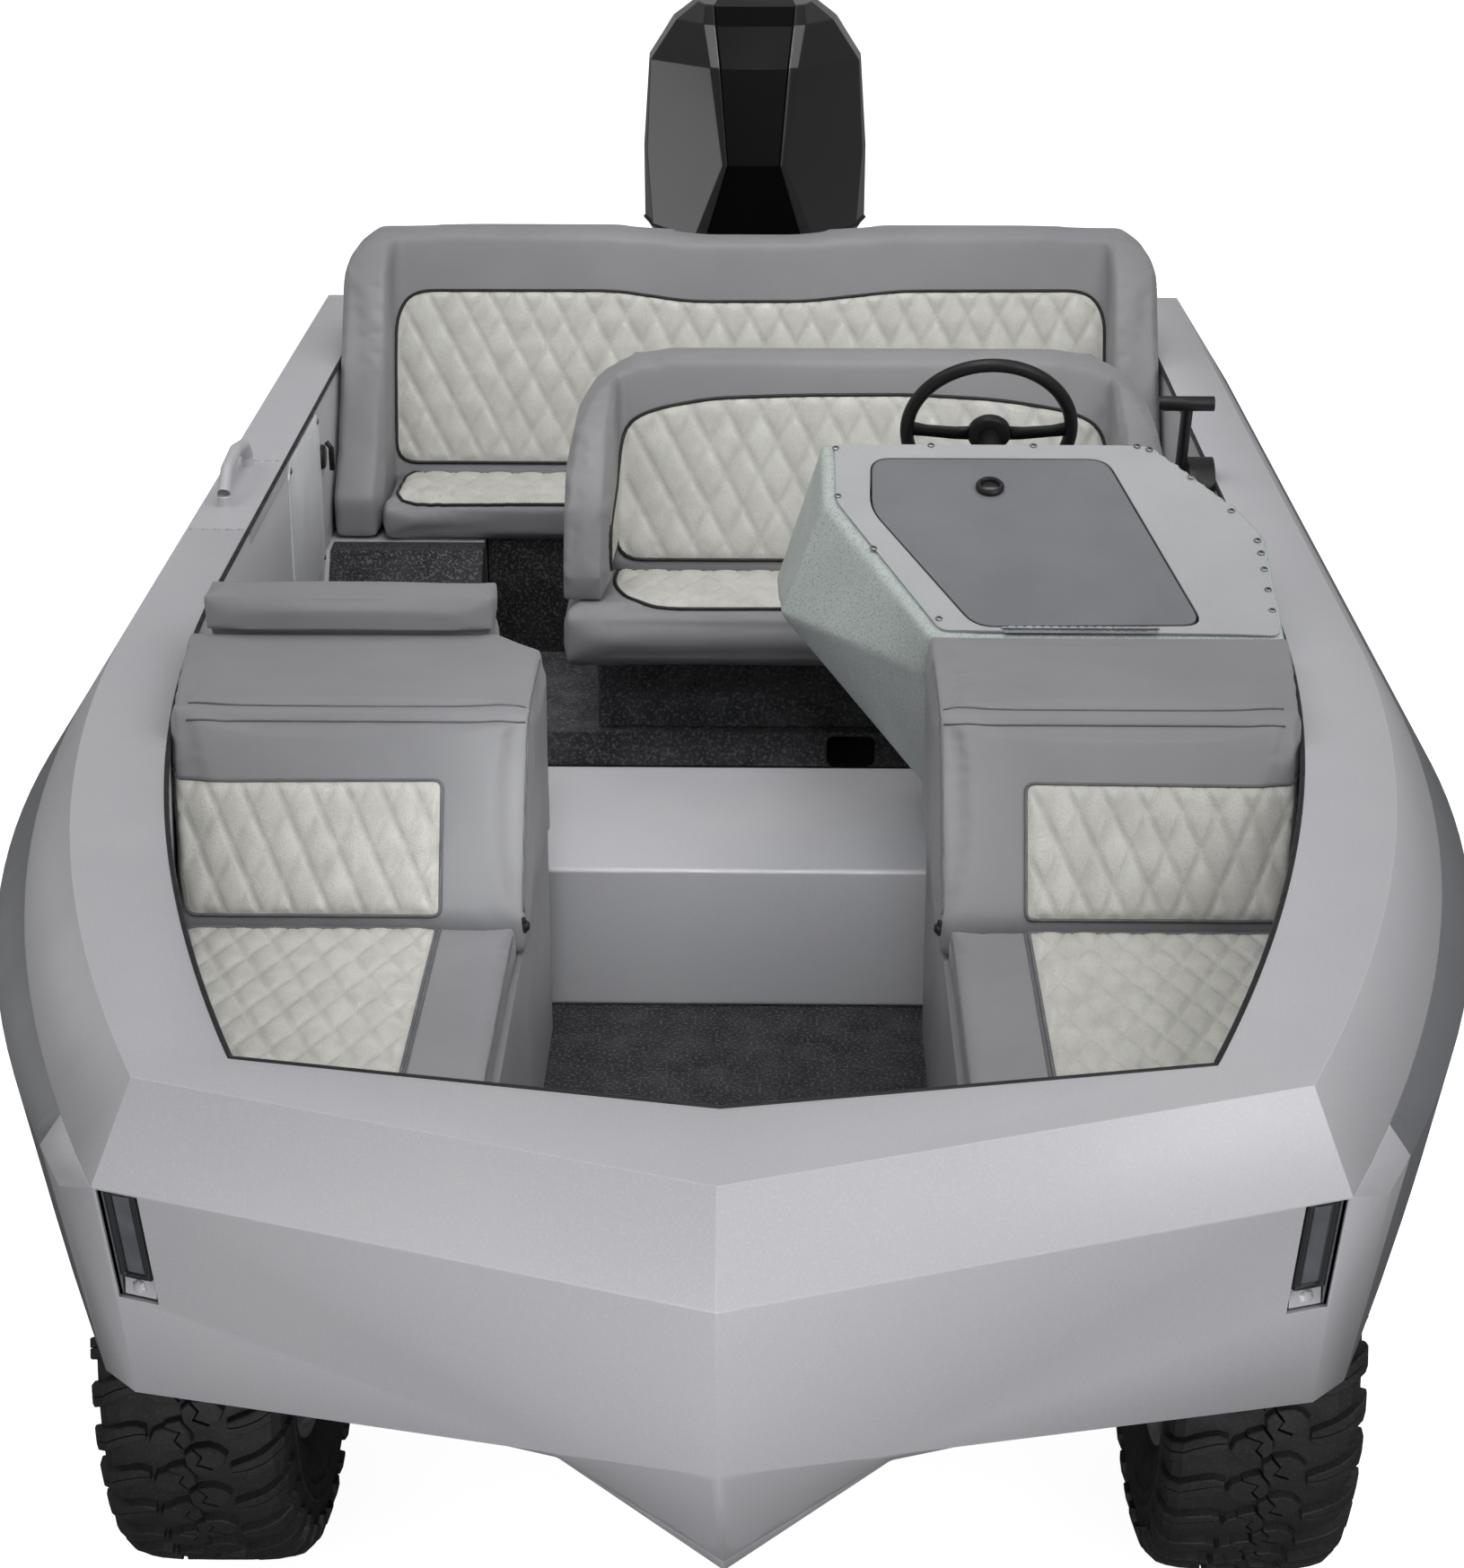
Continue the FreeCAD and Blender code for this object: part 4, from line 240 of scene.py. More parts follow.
def soften(obj, width, segments=2, angle=28):
    """Rounds an object's hard edges by a width in millimetres."""
    obj.data.polygons.foreach_set("use_smooth", [True] * len(obj.data.polygons))
    weld = obj.modifiers.new("weld", "WELD")
    weld.merge_threshold = 0.00002
    flat = obj.modifiers.new("flat", "DECIMATE")
    flat.decimate_type = "DISSOLVE"
    flat.angle_limit = math.radians(0.6)
    bevel = obj.modifiers.new("bevel", "BEVEL")
    bevel.width = width * MM
    bevel.segments = segments
    bevel.limit_method = "ANGLE"
    bevel.angle_limit = math.radians(angle)
    bevel.harden_normals = True
    bevel.use_clamp_overlap = True


def evaluated(obj):
    """Mesh of an object with its modifiers applied."""
    bpy.context.view_layer.update()
    return bpy.data.meshes.new_from_object(obj.evaluated_get(bpy.context.evaluated_depsgraph_get()))


def tube(points, radius, closed=False, sides=8):
    """Vertices and faces of a round bar along points, in metres."""
    vertices, faces = [], []
    count = len(points)
    guide = None
    for i, point in enumerate(points):
        ahead = points[(i + 1) % count] if closed or i < count - 1 else point
        behind = points[i - 1] if closed or i else point
        along = (ahead - behind).normalized()
        if guide is None:
            guide = along.orthogonal().normalized()
        guide = (guide - along * guide.dot(along)).normalized()
        side = along.cross(guide)
        for k in range(sides):
            turn = 2 * math.pi * k / sides
            vertices.append(point + (guide * math.cos(turn) + side * math.sin(turn)) * radius)
    for i in range(count if closed else count - 1):
        for k in range(sides):
            a, b = i * sides + k, i * sides + (k + 1) % sides
            c, d = ((i + 1) % count) * sides + (k + 1) % sides, ((i + 1) % count) * sides + k
            faces.append((a, b, c, d))
    if not closed:
        faces.append(tuple(reversed(range(sides))))
        faces.append(tuple(range((count - 1) * sides, count * sides)))
    return vertices, faces


def lathe(profile, centre, axis, sides=24):
    """Vertices and faces of a turned form: profile as (distance along the axis, radius), in millimetres."""
    axis = Vector(axis).normalized()
    across = axis.orthogonal().normalized()
    up = axis.cross(across)
    vertices, faces = [], []
    for run, radius in profile:
        for k in range(sides):
            turn = 2 * math.pi * k / sides
            vertices.append(centre + (axis * run + (across * math.cos(turn) + up * math.sin(turn)) * radius) * MM)
    for i in range(len(profile) - 1):
        for k in range(sides):
            a, b = i * sides + k, i * sides + (k + 1) % sides
            faces.append((a, b, b + sides, a + sides))
    faces.append(tuple(reversed(range(sides))))
    faces.append(tuple(range((len(profile) - 1) * sides, len(profile) * sides)))
    return vertices, faces


def gather(forms):
    """Joins (vertices, faces) pairs into one pair."""
    vertices, faces = [], []
    for points, polygons in forms:
        start = len(vertices)
        vertices += list(points)
        faces += [tuple(start + i for i in polygon) for polygon in polygons]
    return vertices, faces


def rounded(points, radius, steps=5):
    """Closed outline with its corners rounded, as pairs in millimetres."""
    result = []
    count = len(points)
    for i, corner in enumerate(points):
        here = Vector(corner)
        before, after = Vector(points[i - 1]), Vector(points[(i + 1) % count])
        first = here + (before - here).normalized() * min(radius, (before - here).length * 0.48)
        last = here + (after - here).normalized() * min(radius, (after - here).length * 0.48)
        for k in range(steps + 1):
            t = k / steps
            result.append(tuple(first * (1 - t) ** 2 + here * 2 * t * (1 - t) + last * t ** 2))
    return result


def resampled(points, step, closed=True):
    """Points at even steps along a line."""
    ring = [Vector(p) for p in points] + ([Vector(points[0])] if closed else [])
    result = []
    for a, b in zip(ring, ring[1:]):
        pieces = max(1, round((b - a).length / step))
        result += [a.lerp(b, k / pieces) for k in range(pieces)]
    if not closed:
        result.append(ring[-1])
    return result


# Carried-over nodes: finishes and rounded edges -------------------------------------------------------

SOFT = ("bow_cushions", "bow_backrests", "companion_cushion", "companion_backrest", "helm_cushion",
        "helm_backrest", "bench_cushion", "bench_backrest")
ROUNDING = {"step_box": 9, "console_panel": 1.2, "console_hatch": 2.5, "motor_cowl": 0, "gunwale_deck": 2.5,
            "hull_bow": 2.5, "hull_sides": 3, "hull_tub": 3, "transom": 3, "helm_base": 8, "bow_seat_bases": 4,
            "companion_base": 5, "mooring_cleat": 0, "access_plate": 1, "steering_wheel": 0, "throttle": 3,
            "hatch_latch": 0, "propeller": 0, "console_shell": 0}
ROUND_FORMS = ("steering_wheel", "hatch_latch", "propeller", "mooring_cleat")

for name, node in nodes.items():
    slot = node.material_slots[0].material.name.split(".")[0]
    node.material_slots[0].material = SLOTS.get(slot, paint)
    if name in SOFT or name.startswith("tyre_"):
        continue
    width = ROUNDING.get(name, 1.5)
    if width:
        soften(node, width)
for name, material in (("console_hatch", hatch_paint), ("step_box", paint), ("mooring_cleat", paint),
                       # Hull sides get the darker copy of the hull paint: painted shade.
                       ("bow_seat_bases", vinyl), ("companion_base", vinyl), ("hull_sides", shaded_side_paint),
                       # Helm base and aft floor get the lighter mat: painted light on floors in shade.
                       ("access_plate", pale_plate), ("helm_base", lightened_floor_mat), ("aft_floor", lightened_floor_mat)):
    nodes[name].material_slots[0].material = material

# Pads -----------------------------------------------------------------------------------------------


def body_of_pad(name, node, side, voxel, shrink, steps):
    """Closed smooth form of a CAD solid, remeshed, drawn in and rounded; side picks one of a pair."""
    work = bmesh.new()
    work.from_mesh(nodes[node].data)
    if side:
        other = [v for v in work.verts if v.co.x * side < 0]
        bmesh.ops.delete(work, geom=other, context="VERTS")
    bmesh.ops.remove_doubles(work, verts=work.verts, dist=0.00005)
    mesh = bpy.data.meshes.new(name)
    work.to_mesh(mesh)
    work.free()
    obj = bpy.data.objects.new(name, mesh)
    scene.collection.objects.link(obj)
    remesh = obj.modifiers.new("voxels", "REMESH")
    remesh.mode = "VOXEL"
    remesh.voxel_size = voxel * MM
    inset = obj.modifiers.new("inset", "DISPLACE")
    inset.strength = -shrink * MM
    inset.mid_level = 0
    relax = obj.modifiers.new("relax", "SMOOTH")
    relax.factor = 0.5
    relax.iterations = steps
    mesh = evaluated(obj)
    bpy.data.objects.remove(obj)
    return mesh


def puff(mesh, cap, pressure=4.0):
    """Blows a closed mesh up with a cloth simulation and lets no point move further than the cap."""
    obj = bpy.data.objects.new("puff", mesh)
    scene.collection.objects.link(obj)
    cloth = obj.modifiers.new("cloth", "CLOTH")
    cloth.settings.use_pressure = True
    cloth.settings.uniform_pressure_force = pressure
    cloth.settings.effector_weights.gravity = 0
    cloth.settings.quality = 3
    cloth.point_cache.frame_start = 1
    cloth.point_cache.frame_end = 14
    for step in range(1, 15):
        scene.frame_set(step)
    blown = evaluated(obj)
    rest = np.empty(len(mesh.vertices) * 3)
    moved = np.empty(len(mesh.vertices) * 3)
    mesh.vertices.foreach_get("co", rest)
    blown.vertices.foreach_get("co", moved)
    shift = (moved - rest).reshape(-1, 3)
    length = np.linalg.norm(shift, axis=1, keepdims=True) + 1e-9
    shift *= np.minimum(1, cap * MM / length)
    mesh.vertices.foreach_set("co", (rest.reshape(-1, 3) + shift).ravel())
    bpy.data.objects.remove(obj)
    scene.frame_set(1)
    return mesh


def keep_inside(mesh, low, high, proud):
    """Pulls points that stand outside a box, grown by a few millimetres, back to it."""
    co = np.empty(len(mesh.vertices) * 3)
    mesh.vertices.foreach_get("co", co)
    co = co.reshape(-1, 3)
    co = np.clip(co, np.array(low) - proud * MM, np.array(high) + proud * MM)
    mesh.vertices.foreach_set("co", co.ravel())


def outline_distance(points, outline):
    """Distance of points to a closed outline, whether they are inside it, and the nearest points on it."""
    ring = np.array(outline)
    starts, ends = ring, np.roll(ring, -1, axis=0)
    best = np.full(len(points), 1e9)
    nearest = points.copy()
    inside = np.zeros(len(points), bool)
    for a, b in zip(starts, ends):
        along = b - a
        share = np.clip(((points - a) @ along) / max(along @ along, 1e-9), 0, 1)
        foot = a + share[:, None] * along
        gap = np.linalg.norm(points - foot, axis=1)
        closer = gap < best
        best[closer] = gap[closer]
        nearest[closer] = foot[closer]
        if a[1] != b[1]:
            crosses = (a[1] > points[:, 1]) != (b[1] > points[:, 1])
            where = (b[0] - a[0]) * (points[:, 1] - a[1]) / (b[1] - a[1]) + a[0]
            inside ^= crosses & (points[:, 0] < where)
    return best, inside, nearest


class Panel:
    """A quilted insert laid on a pad: an outline seen along a line of sight, with a diamond lattice."""

    def __init__(self, outline, view, slope=0.0, cell=(68, 130), height=7.5, piping=None, radius=60, cord=3.8):
        self.view = view
        self.rise = 1 / math.cos(math.radians(slope))
        self.outline = rounded([(u, v * self.rise) for u, v in outline], radius)
        self.cell = cell
        self.height = height
        self.piping = piping or black_piping
        self.cord = cord

    def spot(self, tree, u, v, lift):
        """Point over the pad's surface for panel coordinates in millimetres."""
        v = v / self.rise
        if self.view == "back":
            start, ray = at(u, 0, v), Vector((0, 1, 0))
        else:
            start, ray = at(u, v, 2000), Vector((0, 0, -1))
        hit, normal, _, _ = tree.ray_cast(start, ray)
        if hit is None:
            hit, normal, _, _ = tree.find_nearest(at(u, 2569, v) if self.view == "back" else at(u, v, 930))
        push = -ray * math.cos(0.35)
        if self.view == "back":
            push = Vector((0, -math.cos(0.35), math.sin(0.35)))
        return hit + push * lift * MM

    def forms(self, tree):
        """Quilt and piping as (vertices, faces, material)."""
        wide, tall = self.cell
        steps = 9
        ring = np.array(self.outline)
        low, high = ring.min(0), ring.max(0)
        centre = (low + high) / 2
        reach = int(((high - low) / np.array(self.cell)).sum() / 2) + 2
        count = 2 * reach * steps + 1
        axis = np.arange(count) / steps - reach
        first, second = np.meshgrid(axis, axis, indexing="ij")
        u = centre[0] + wide * (first + second) / 2
        v = centre[1] + tall * (first - second) / 2
        points = np.stack([u.ravel(), v.ravel()], axis=1)
        near = ((points > low - tall / steps * 2) & (points < high + tall / steps * 2)).all(1)
        kept = np.flatnonzero(near)
        gap, inside, nearest = outline_distance(points[kept], self.outline)
        pillow = np.abs(np.sin(np.pi * first) * np.sin(np.pi * second)).ravel()[kept] ** 0.33
        border = np.clip(gap / 14, 0, 1)
        border = border * border * (3 - 2 * border)
        index = {}
        vertices = []
        for spot, (k, is_in) in enumerate(zip(kept, inside)):
            place = points[k] if is_in else nearest[spot]
            lift = 1.0 + (self.height * pillow[spot] * border[spot] if is_in else 0)
            index[k] = (spot, is_in, place, lift)
        used = {}
        faces = []
        for i in range(count - 1):
            base = i * count
            for j in range(count - 1):
                quad = (base + j, base + count + j, base + count + j + 1, base + j + 1)
                if not all(q in index for q in quad) or not any(index[q][1] for q in quad):
                    continue
                face = []
                for q in quad:
                    if q not in used:
                        _, _, place, lift = index[q]
                        used[q] = len(vertices)
                        vertices.append(self.spot(tree, place[0], place[1], lift))
                    face.append(used[q])
                faces.append(tuple(face) if self.view == "back" else tuple(reversed(face)))
        line = [self.spot(tree, p[0], p[1], 1.5) for p in resampled(self.outline, 9)]
        cord, wraps = tube(line, self.cord * MM, closed=True, sides=7)
        return [(vertices, faces, ivory), (cord, wraps, self.piping)]


def pad(name, node, body, side=0, voxel=9, shrink=5, steps=10, cap=9, panels=(), seams=(), proud=2.0):
    """A stuffed pad in place of a CAD solid, with its quilted panels and sewn seams, as one piece."""
    mesh = body_of_pad(name, node, side, voxel, shrink, steps)
    mesh = puff(mesh, cap)
    low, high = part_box(node)
    if side:
        low, high = Vector(low), Vector(high)
        if side > 0:
            low.x = min(v.co.x for v in nodes[node].data.vertices if v.co.x > 0)
        else:
            high.x = max(v.co.x for v in nodes[node].data.vertices if v.co.x < 0)
    keep_inside(mesh, low, high, proud)
    tree = BVHTree.FromPolygons([v.co for v in mesh.vertices], [p.vertices for p in mesh.polygons])
    parts = [([v.co.copy() for v in mesh.vertices], [tuple(p.vertices) for p in mesh.polygons], vinyl)]
    for panel in panels:
        parts += panel.forms(tree)
    for line, radius, material in seams:
        spots = []
        for point in resampled(line, 12 * MM, closed=False):
            hit, normal, _, _ = tree.find_nearest(point)
            spots.append(hit + normal * 0.0006)
        parts.append((*tube(spots, radius * MM, sides=6), material))
    obj = make(name, parts, body)
    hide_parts(node)
    return obj


BOW_CELL = (51, 112)
REAR_CELL = (68, 128)
bench_back = Panel([(-774, 938), (-776, 1160), (-774, 1246), (-738, 1293), (-295, 1294), (-134, 1272), (121, 1273),
                    (329, 1295), (738, 1297), (776, 1251), (776, 1133), (774, 938)], "back", 19, REAR_CELL, radius=45)
bench_seat = Panel([(-752, 3286), (752, 3286), (750, 3440), (716, 3502), (-716, 3502), (-750, 3440)], "seat",
                   0, REAR_CELL, 5, radius=40)
helm_back = Panel([(-256, 936), (-258, 1060), (-246, 1180), (-198, 1212), (-72, 1235), (106, 1241), (326, 1243),
                   (504, 1234), (651, 1212), (710, 1180), (724, 1060), (722, 936)], "back", 22, REAR_CELL, radius=50)
helm_seat = Panel([(-250, 2834), (-257, 2713), (-222, 2619), (-160, 2600), (627, 2600), (689, 2619), (724, 2713),
                   (717, 2834)], "seat", 0, REAR_CELL, 5, radius=45)
pad("bench_back_pad", "bench_backrest", "hull", voxel=10, steps=14, panels=[bench_back])
pad("bench_seat_pad", "bench_cushion", "hull", voxel=8, panels=[bench_seat])
pad("helm_back_pad", "helm_backrest", "hull", voxel=9, steps=14, panels=[helm_back])
pad("helm_seat_pad", "helm_cushion", "hull", voxel=8, panels=[helm_seat])
for side, word in ((-1, "right"), (1, "left")):
    back = [(428, 948), (430, 1119), (842, 1116), (800, 948)]
    seat = [(430, 560), (430, 1110), (800, 1106), (752, 900), (662, 706), (600, 560)]
    if side < 0:
        back = [(-x, z) for x, z in reversed(back)]
        seat = [(-x, s) for x, s in reversed(seat)]
    inner, outer = side * 0.300, side * 0.815
    welts = [([(inner * 1.03, y, z), (outer, y, z)], 1.7, grey_piping) for y, z in ((-1.270, 1.192), (-1.244, 1.210))]
    welts += [([(inner, -1.262, 1.200), (inner, -1.43, 0.955)], 1.7, grey_piping)]
    welts += [([(inner, -1.262, 1.205), (inner, -1.03, 1.205)], 1.5, grey_piping)]
    welts = [([Vector(p) for p in line], radius, material) for line, radius, material in welts]
    pad("bow_back_pad_" + word, "bow_backrests", "hull", side, 8, shrink=3, steps=6, cap=4, seams=welts,
        panels=[Panel(back, "back", 33, BOW_CELL, 7.5, grey_piping, 14, 2.8)])
    welts = [([(side * 0.312, -1.47, 0.938), (side * 0.312, -2.1, 0.938)], 1.6, grey_piping),
             ([(side * 0.424, -1.45, 0.94), (side * 0.424, -2.1, 0.94)], 1.6, grey_piping)]
    welts = [([Vector(p) for p in line], radius, material) for line, radius, material in welts]
    pad("bow_seat_pad_" + word, "bow_cushions", "hull", side, 7, shrink=3, steps=6, cap=5, seams=welts,
        panels=[Panel(seat, "seat", 0, BOW_CELL, 7, grey_piping, 14, 2.8)])
pad("companion_seat_pad", "companion_cushion", "hull", voxel=8)
pad("companion_back_pad", "companion_backrest", "hull", voxel=7, steps=8)

# Motor cowl: creased shell with a recessed dark strip down its front and over its top -----------------------

# Rings of the cowl's left half: height, then (across, station) from the front middle round to the rear middle
COWL = [
    (1152, [(0, 4700), (100, 4702), (130, 4708), (236, 4830), (262, 4930), (236, 5080), (150, 5168), (0, 5180)]),
    (1185, [(0, 4664), (122, 4666), (152, 4676), (262, 4846), (286, 4950), (262, 5100), (160, 5198), (0, 5206)]),
    (1372, [(0, 4654), (66, 4656), (78, 4663), (276, 4868), (287, 4960), (268, 5110), (165, 5204), (0, 5209)]),
    (1602, [(0, 4720), (86, 4723), (110, 4733), (264, 4872), (271, 4970), (250, 5100), (150, 5190), (0, 5198)]),
    (1700, [(0, 4776), (98, 4779), (128, 4788), (198, 4876), (208, 4960), (190, 5070), (120, 5140), (0, 5150)]),
    (1743, [(0, 4820), (102, 4823), (124, 4834), (142, 4890), (150, 4950), (138, 5040), (84, 5086), (0, 5094)]),
]


def cowl_forms():
    """Shell and strip of the cowl as (vertices, faces, material)."""
    count = len(COWL[0][1])
    shell, strip = [], []
    points = []
    for z, ring in COWL:
        points.append([at(x, s, z) for x, s in ring] + [at(-x, s, z) for x, s in reversed(ring[1:-1])])
    around = len(points[0])
    flat = [p for ring in points for p in ring]
    for level in range(len(COWL) - 1):
        for k in range(around):
            a, b = level * around + k, level * around + (k + 1) % around
            quad = (a, b, b + around, a + around)
            if k in (0, around - 1):
                strip.append(quad)
            elif level == 2 and k == 2:
                shell += [(a, b, b + around), (a, b + around, a + around)]
            elif level == 2 and k == around - 3:
                shell += [(a, b, a + around), (b, b + around, a + around)]
            else:
                shell.append(quad)
    top = [(len(COWL) - 1) * around + k for k in range(around)]
    strip += [(top[0], top[1], top[count - 2], top[count - 1]), (top[-1], top[0], top[count - 1], top[count])]
    shell += [tuple(top[1:count - 1]), tuple(top[count:])]
    shell.append(tuple(reversed(range(around))))
    return flat, shell, strip


flat, shell, strip = cowl_forms()
mesh = bpy.data.meshes.new("cowl")
mesh.from_pydata(flat, [], shell + strip)
mesh.polygons.foreach_set("material_index", [0] * len(shell) + [1] * len(strip))
work = bmesh.new()
work.from_mesh(mesh)
dark = [face for face in work.faces if face.material_index == 1]
bmesh.ops.inset_region(work, faces=dark, thickness=3 * MM, depth=-5 * MM)
bmesh.ops.recalc_face_normals(work, faces=work.faces)
work.to_mesh(mesh)
work.free()
mesh.materials.append(gloss)
mesh.materials.append(gloss_strip)
mesh.polygons.foreach_set("use_smooth", [True] * len(mesh.polygons))
cowl = bpy.data.objects.new("cowl", mesh)
scene.collection.objects.link(cowl)
bevel = cowl.modifiers.new("bevel", "BEVEL")
bevel.width = 9 * MM
bevel.segments = 3
bevel.limit_method = "ANGLE"
bevel.angle_limit = math.radians(9)
bevel.harden_normals = True
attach(cowl, "motor_steering")
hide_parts("motor_cowl")
ring = [at(x * 1.004, s, 1186) for x, s in COWL[1][1]]
ring += [at(-x * 1.004, s, 1186) for x, s in reversed(COWL[1][1][1:-1])]
make("cowl_seal", [(*tube(resampled(ring, 20 * MM), 3.2 * MM, True, 6), black_plastic)], "motor_steering")

# Console: moulded shell with rounded flanks, panel screws and hinge ------------------------------------------

PANEL_EDGE = [(708, 2168), (840, 1994), (872, 1924)]
work = bmesh.new()
work.from_mesh(nodes["console_shell"].data)
bmesh.ops.remove_doubles(work, verts=work.verts, dist=0.00005)
for first, last in zip(PANEL_EDGE, PANEL_EDGE[1:]):
    start, end = at(*first, 0), at(*last, 0)
    along = end - start
    outward = Vector((-along.y, along.x, 0)).normalized()
    cut = bmesh.ops.bisect_plane(work, geom=work.verts[:] + work.edges[:] + work.faces[:], plane_co=start,
                                 plane_no=outward, clear_outer=True)
    bmesh.ops.holes_fill(work, edges=[e for e in work.edges if e.is_boundary])
bmesh.ops.recalc_face_normals(work, faces=work.faces)
mesh = bpy.data.meshes.new("console")
work.to_mesh(mesh)
work.free()
obj = bpy.data.objects.new("console", mesh)
scene.collection.objects.link(obj)
remesh = obj.modifiers.new("voxels", "REMESH")
remesh.mode = "VOXEL"
remesh.voxel_size = 6.5 * MM
relax = obj.modifiers.new("relax", "SMOOTH")
relax.factor = 0.5
relax.iterations = 9
moulding = evaluated(obj)
bpy.data.objects.remove(obj)
low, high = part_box("console_shell")
keep_inside(moulding, low, high, 0)
shell = make("console_moulding", [([v.co.copy() for v in moulding.vertices],
                                   [tuple(p.vertices) for p in moulding.polygons], sage)], "hull")
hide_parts("console_shell")

SLOPE = Vector((0, -176, 500)).normalized()
SCREWS = [(162, 2146), (326, 2155), (502, 2155), (680, 2155), (164, 2016), (221, 1880), (322, 1706), (700, 2146),
          (764, 2072), (822, 1985), (856, 1908), (858, 1876), (858, 1835), (858, 1784), (858, 1733)]


def screw(point, normal, radius=6.5):
    """Domed cross-head screw, as two forms: head, and slot in black as painted shade of the recess."""
    head = lathe([(0, radius), (1.2, radius), (2.4, radius * 0.75), (2.8, radius * 0.3)], point, normal, 14)
    side = normal.orthogonal().normalized()
    other = normal.cross(side)
    slots = []
    for a, b in ((side, other), (other, side)):
        corners = [point + normal * lift * MM + (a * x * radius * 0.6 + b * y * radius * 0.11) * MM
                   for lift in (1.5, 3.0) for x, y in ((-1, -1), (1, -1), (1, 1), (-1, 1))]
        slots.append((corners, [(4, 5, 6, 7), (0, 1, 5, 4), (1, 2, 6, 5), (2, 3, 7, 6), (3, 0, 4, 7)]))
    return head, gather(slots)


def screws(name, places, body, radius=6.5):
    """Row of screws as one piece: places as (point, normal)."""
    made = [screw(point, normal, radius) for point, normal in places]
    heads, slots = gather([m[0] for m in made]), gather([m[1] for m in made])
    # Slots in black plastic: painted shade of the cross recess.
    return make(name, [(*heads, steel), (*slots, black_plastic)], body)


panel_front, panel_back, front_height, back_height = 1668, 2168, 1196, 1372


def on_panel(x, station, lift=5.4):
    """Point over the console's sloped top."""
    share = (station - panel_front) / (panel_back - panel_front)
    return at(x, station, front_height + (back_height - front_height) * share) + SLOPE * lift * MM


screws("console_screws", [(on_panel(x, s, 5.2 if x < 800 else 2.4), SLOPE) for x, s in SCREWS], "hull", 6)


def plate_on_slope(outer, hole, thickness, lift, drop=None):
    """Plate on the console's sloped top, with a hole, and with its right part folded down a little."""
    work = bmesh.new()
    rings = []
    for outline in (outer, hole):
        if outline:
            spots = [work.verts.new((x, s, 0)) for x, s in outline]
            rings += [work.edges.new((spots[i - 1], spots[i])) for i in range(len(spots))]
    bmesh.ops.triangle_fill(work, use_beauty=True, edges=rings)
    if drop:
        (x0, s0), (x1, s1), depth = drop
        out = Vector((s0 - s1, x1 - x0, 0)).normalized()
        if out.x < 0:
            out = -out
        start = Vector((x0, s0, 0))
        bmesh.ops.bisect_plane(work, geom=work.verts[:] + work.edges[:] + work.faces[:], plane_co=start, plane_no=out)
        for spot in work.verts:
            over = (spot.co - start).dot(out)
            if over > 0:
                spot.co.z = -over * depth
    bmesh.ops.recalc_face_normals(work, faces=work.faces)
    if work.faces[0].normal.z < 0:
        bmesh.ops.reverse_faces(work, faces=work.faces)
    top = [on_panel(v.co.x, v.co.y, lift + thickness + v.co.z) for v in work.verts]
    low = [on_panel(v.co.x, v.co.y, lift + v.co.z * 0.4) for v in work.verts]
    count = len(top)
    work.verts.index_update()
    faces = [tuple(v.index for v in face.verts) for face in work.faces]
    under = [tuple(count + i for i in reversed(face)) for face in faces]
    rims = []
    for edge in work.edges:
        if edge.is_boundary:
            loop = edge.link_loops[0]
            a, b = loop.vert.index, loop.link_loop_next.vert.index
            rims.append((b, a, count + a, count + b))
    work.free()
    return top + low, faces + under + rims


panel_outline = rounded([(160, 2158), (161, 2004), (323, 1680), (864, 1672), (864, 1919), (832, 1988), (700, 2158)], 16)
hatch_line = [(224, 2117), (622, 2117), (741, 1696), (380, 1690), (221, 1981)]
hole = rounded([(221, 2121), (625, 2121), (746, 1692), (378, 1686), (217, 1982)], 34)
plate = plate_on_slope(panel_outline, hole, 4.6, 0.3, ((640, 2168), (800, 1668), 0.028))
leaf = [on_panel(x, s, h) for h in (5.2, 6.4) for x, s in ((424, 1672), (669, 1672), (669, 1680), (424, 1680))]
leaf_faces = [(4, 5, 6, 7), (0, 1, 5, 4), (1, 2, 6, 5), (2, 3, 7, 6), (3, 0, 4, 7)]
pin = tube([on_panel(421, 1683, 7), on_panel(672, 1683, 7)], 2.2 * MM, sides=10)
obj = make("console_plate", [(*plate, panel_paint), (leaf, leaf_faces, steel), (*pin, steel)], "hull", smooth=False)
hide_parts("console_panel")
lid = plate_on_slope(rounded(hatch_line, 32), None, 5.6, -0.8)
knuckles = [tube([on_panel(x, 1683, 7), on_panel(x + 9.5, 1683, 7)], 3.6 * MM, sides=10) for x in range(432, 656, 14)]
obj = make("console_lid_plate", [(*lid, hatch_paint), (*gather(knuckles), steel)], "console_lid",
           smooth=False)
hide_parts("console_hatch")
half = [on_panel(421 + 14 * math.cos(a), 2037 + 14 * math.sin(a), 8.6) for a in
        [math.pi + math.pi * k / 12 for k in range(13)]]
moon = (half, [tuple(range(13))])
make("latch_moon", [(*moon, grey_piping)], "console_lid", smooth=False)

# Steering wheel: thick ring, two level spokes, a lower spoke and a capped hub --------------------------------

wheel_hub = at(438, 2340, 1349)
rake = math.radians(-65)


def on_wheel(x, y, z):
    """Point of the wheel: across, down the ring's plane, towards the driver, in millimetres."""
    return wheel_hub + Vector((x, y * math.cos(rake) - z * math.sin(rake), y * math.sin(rake) + z * math.cos(rake))) * MM


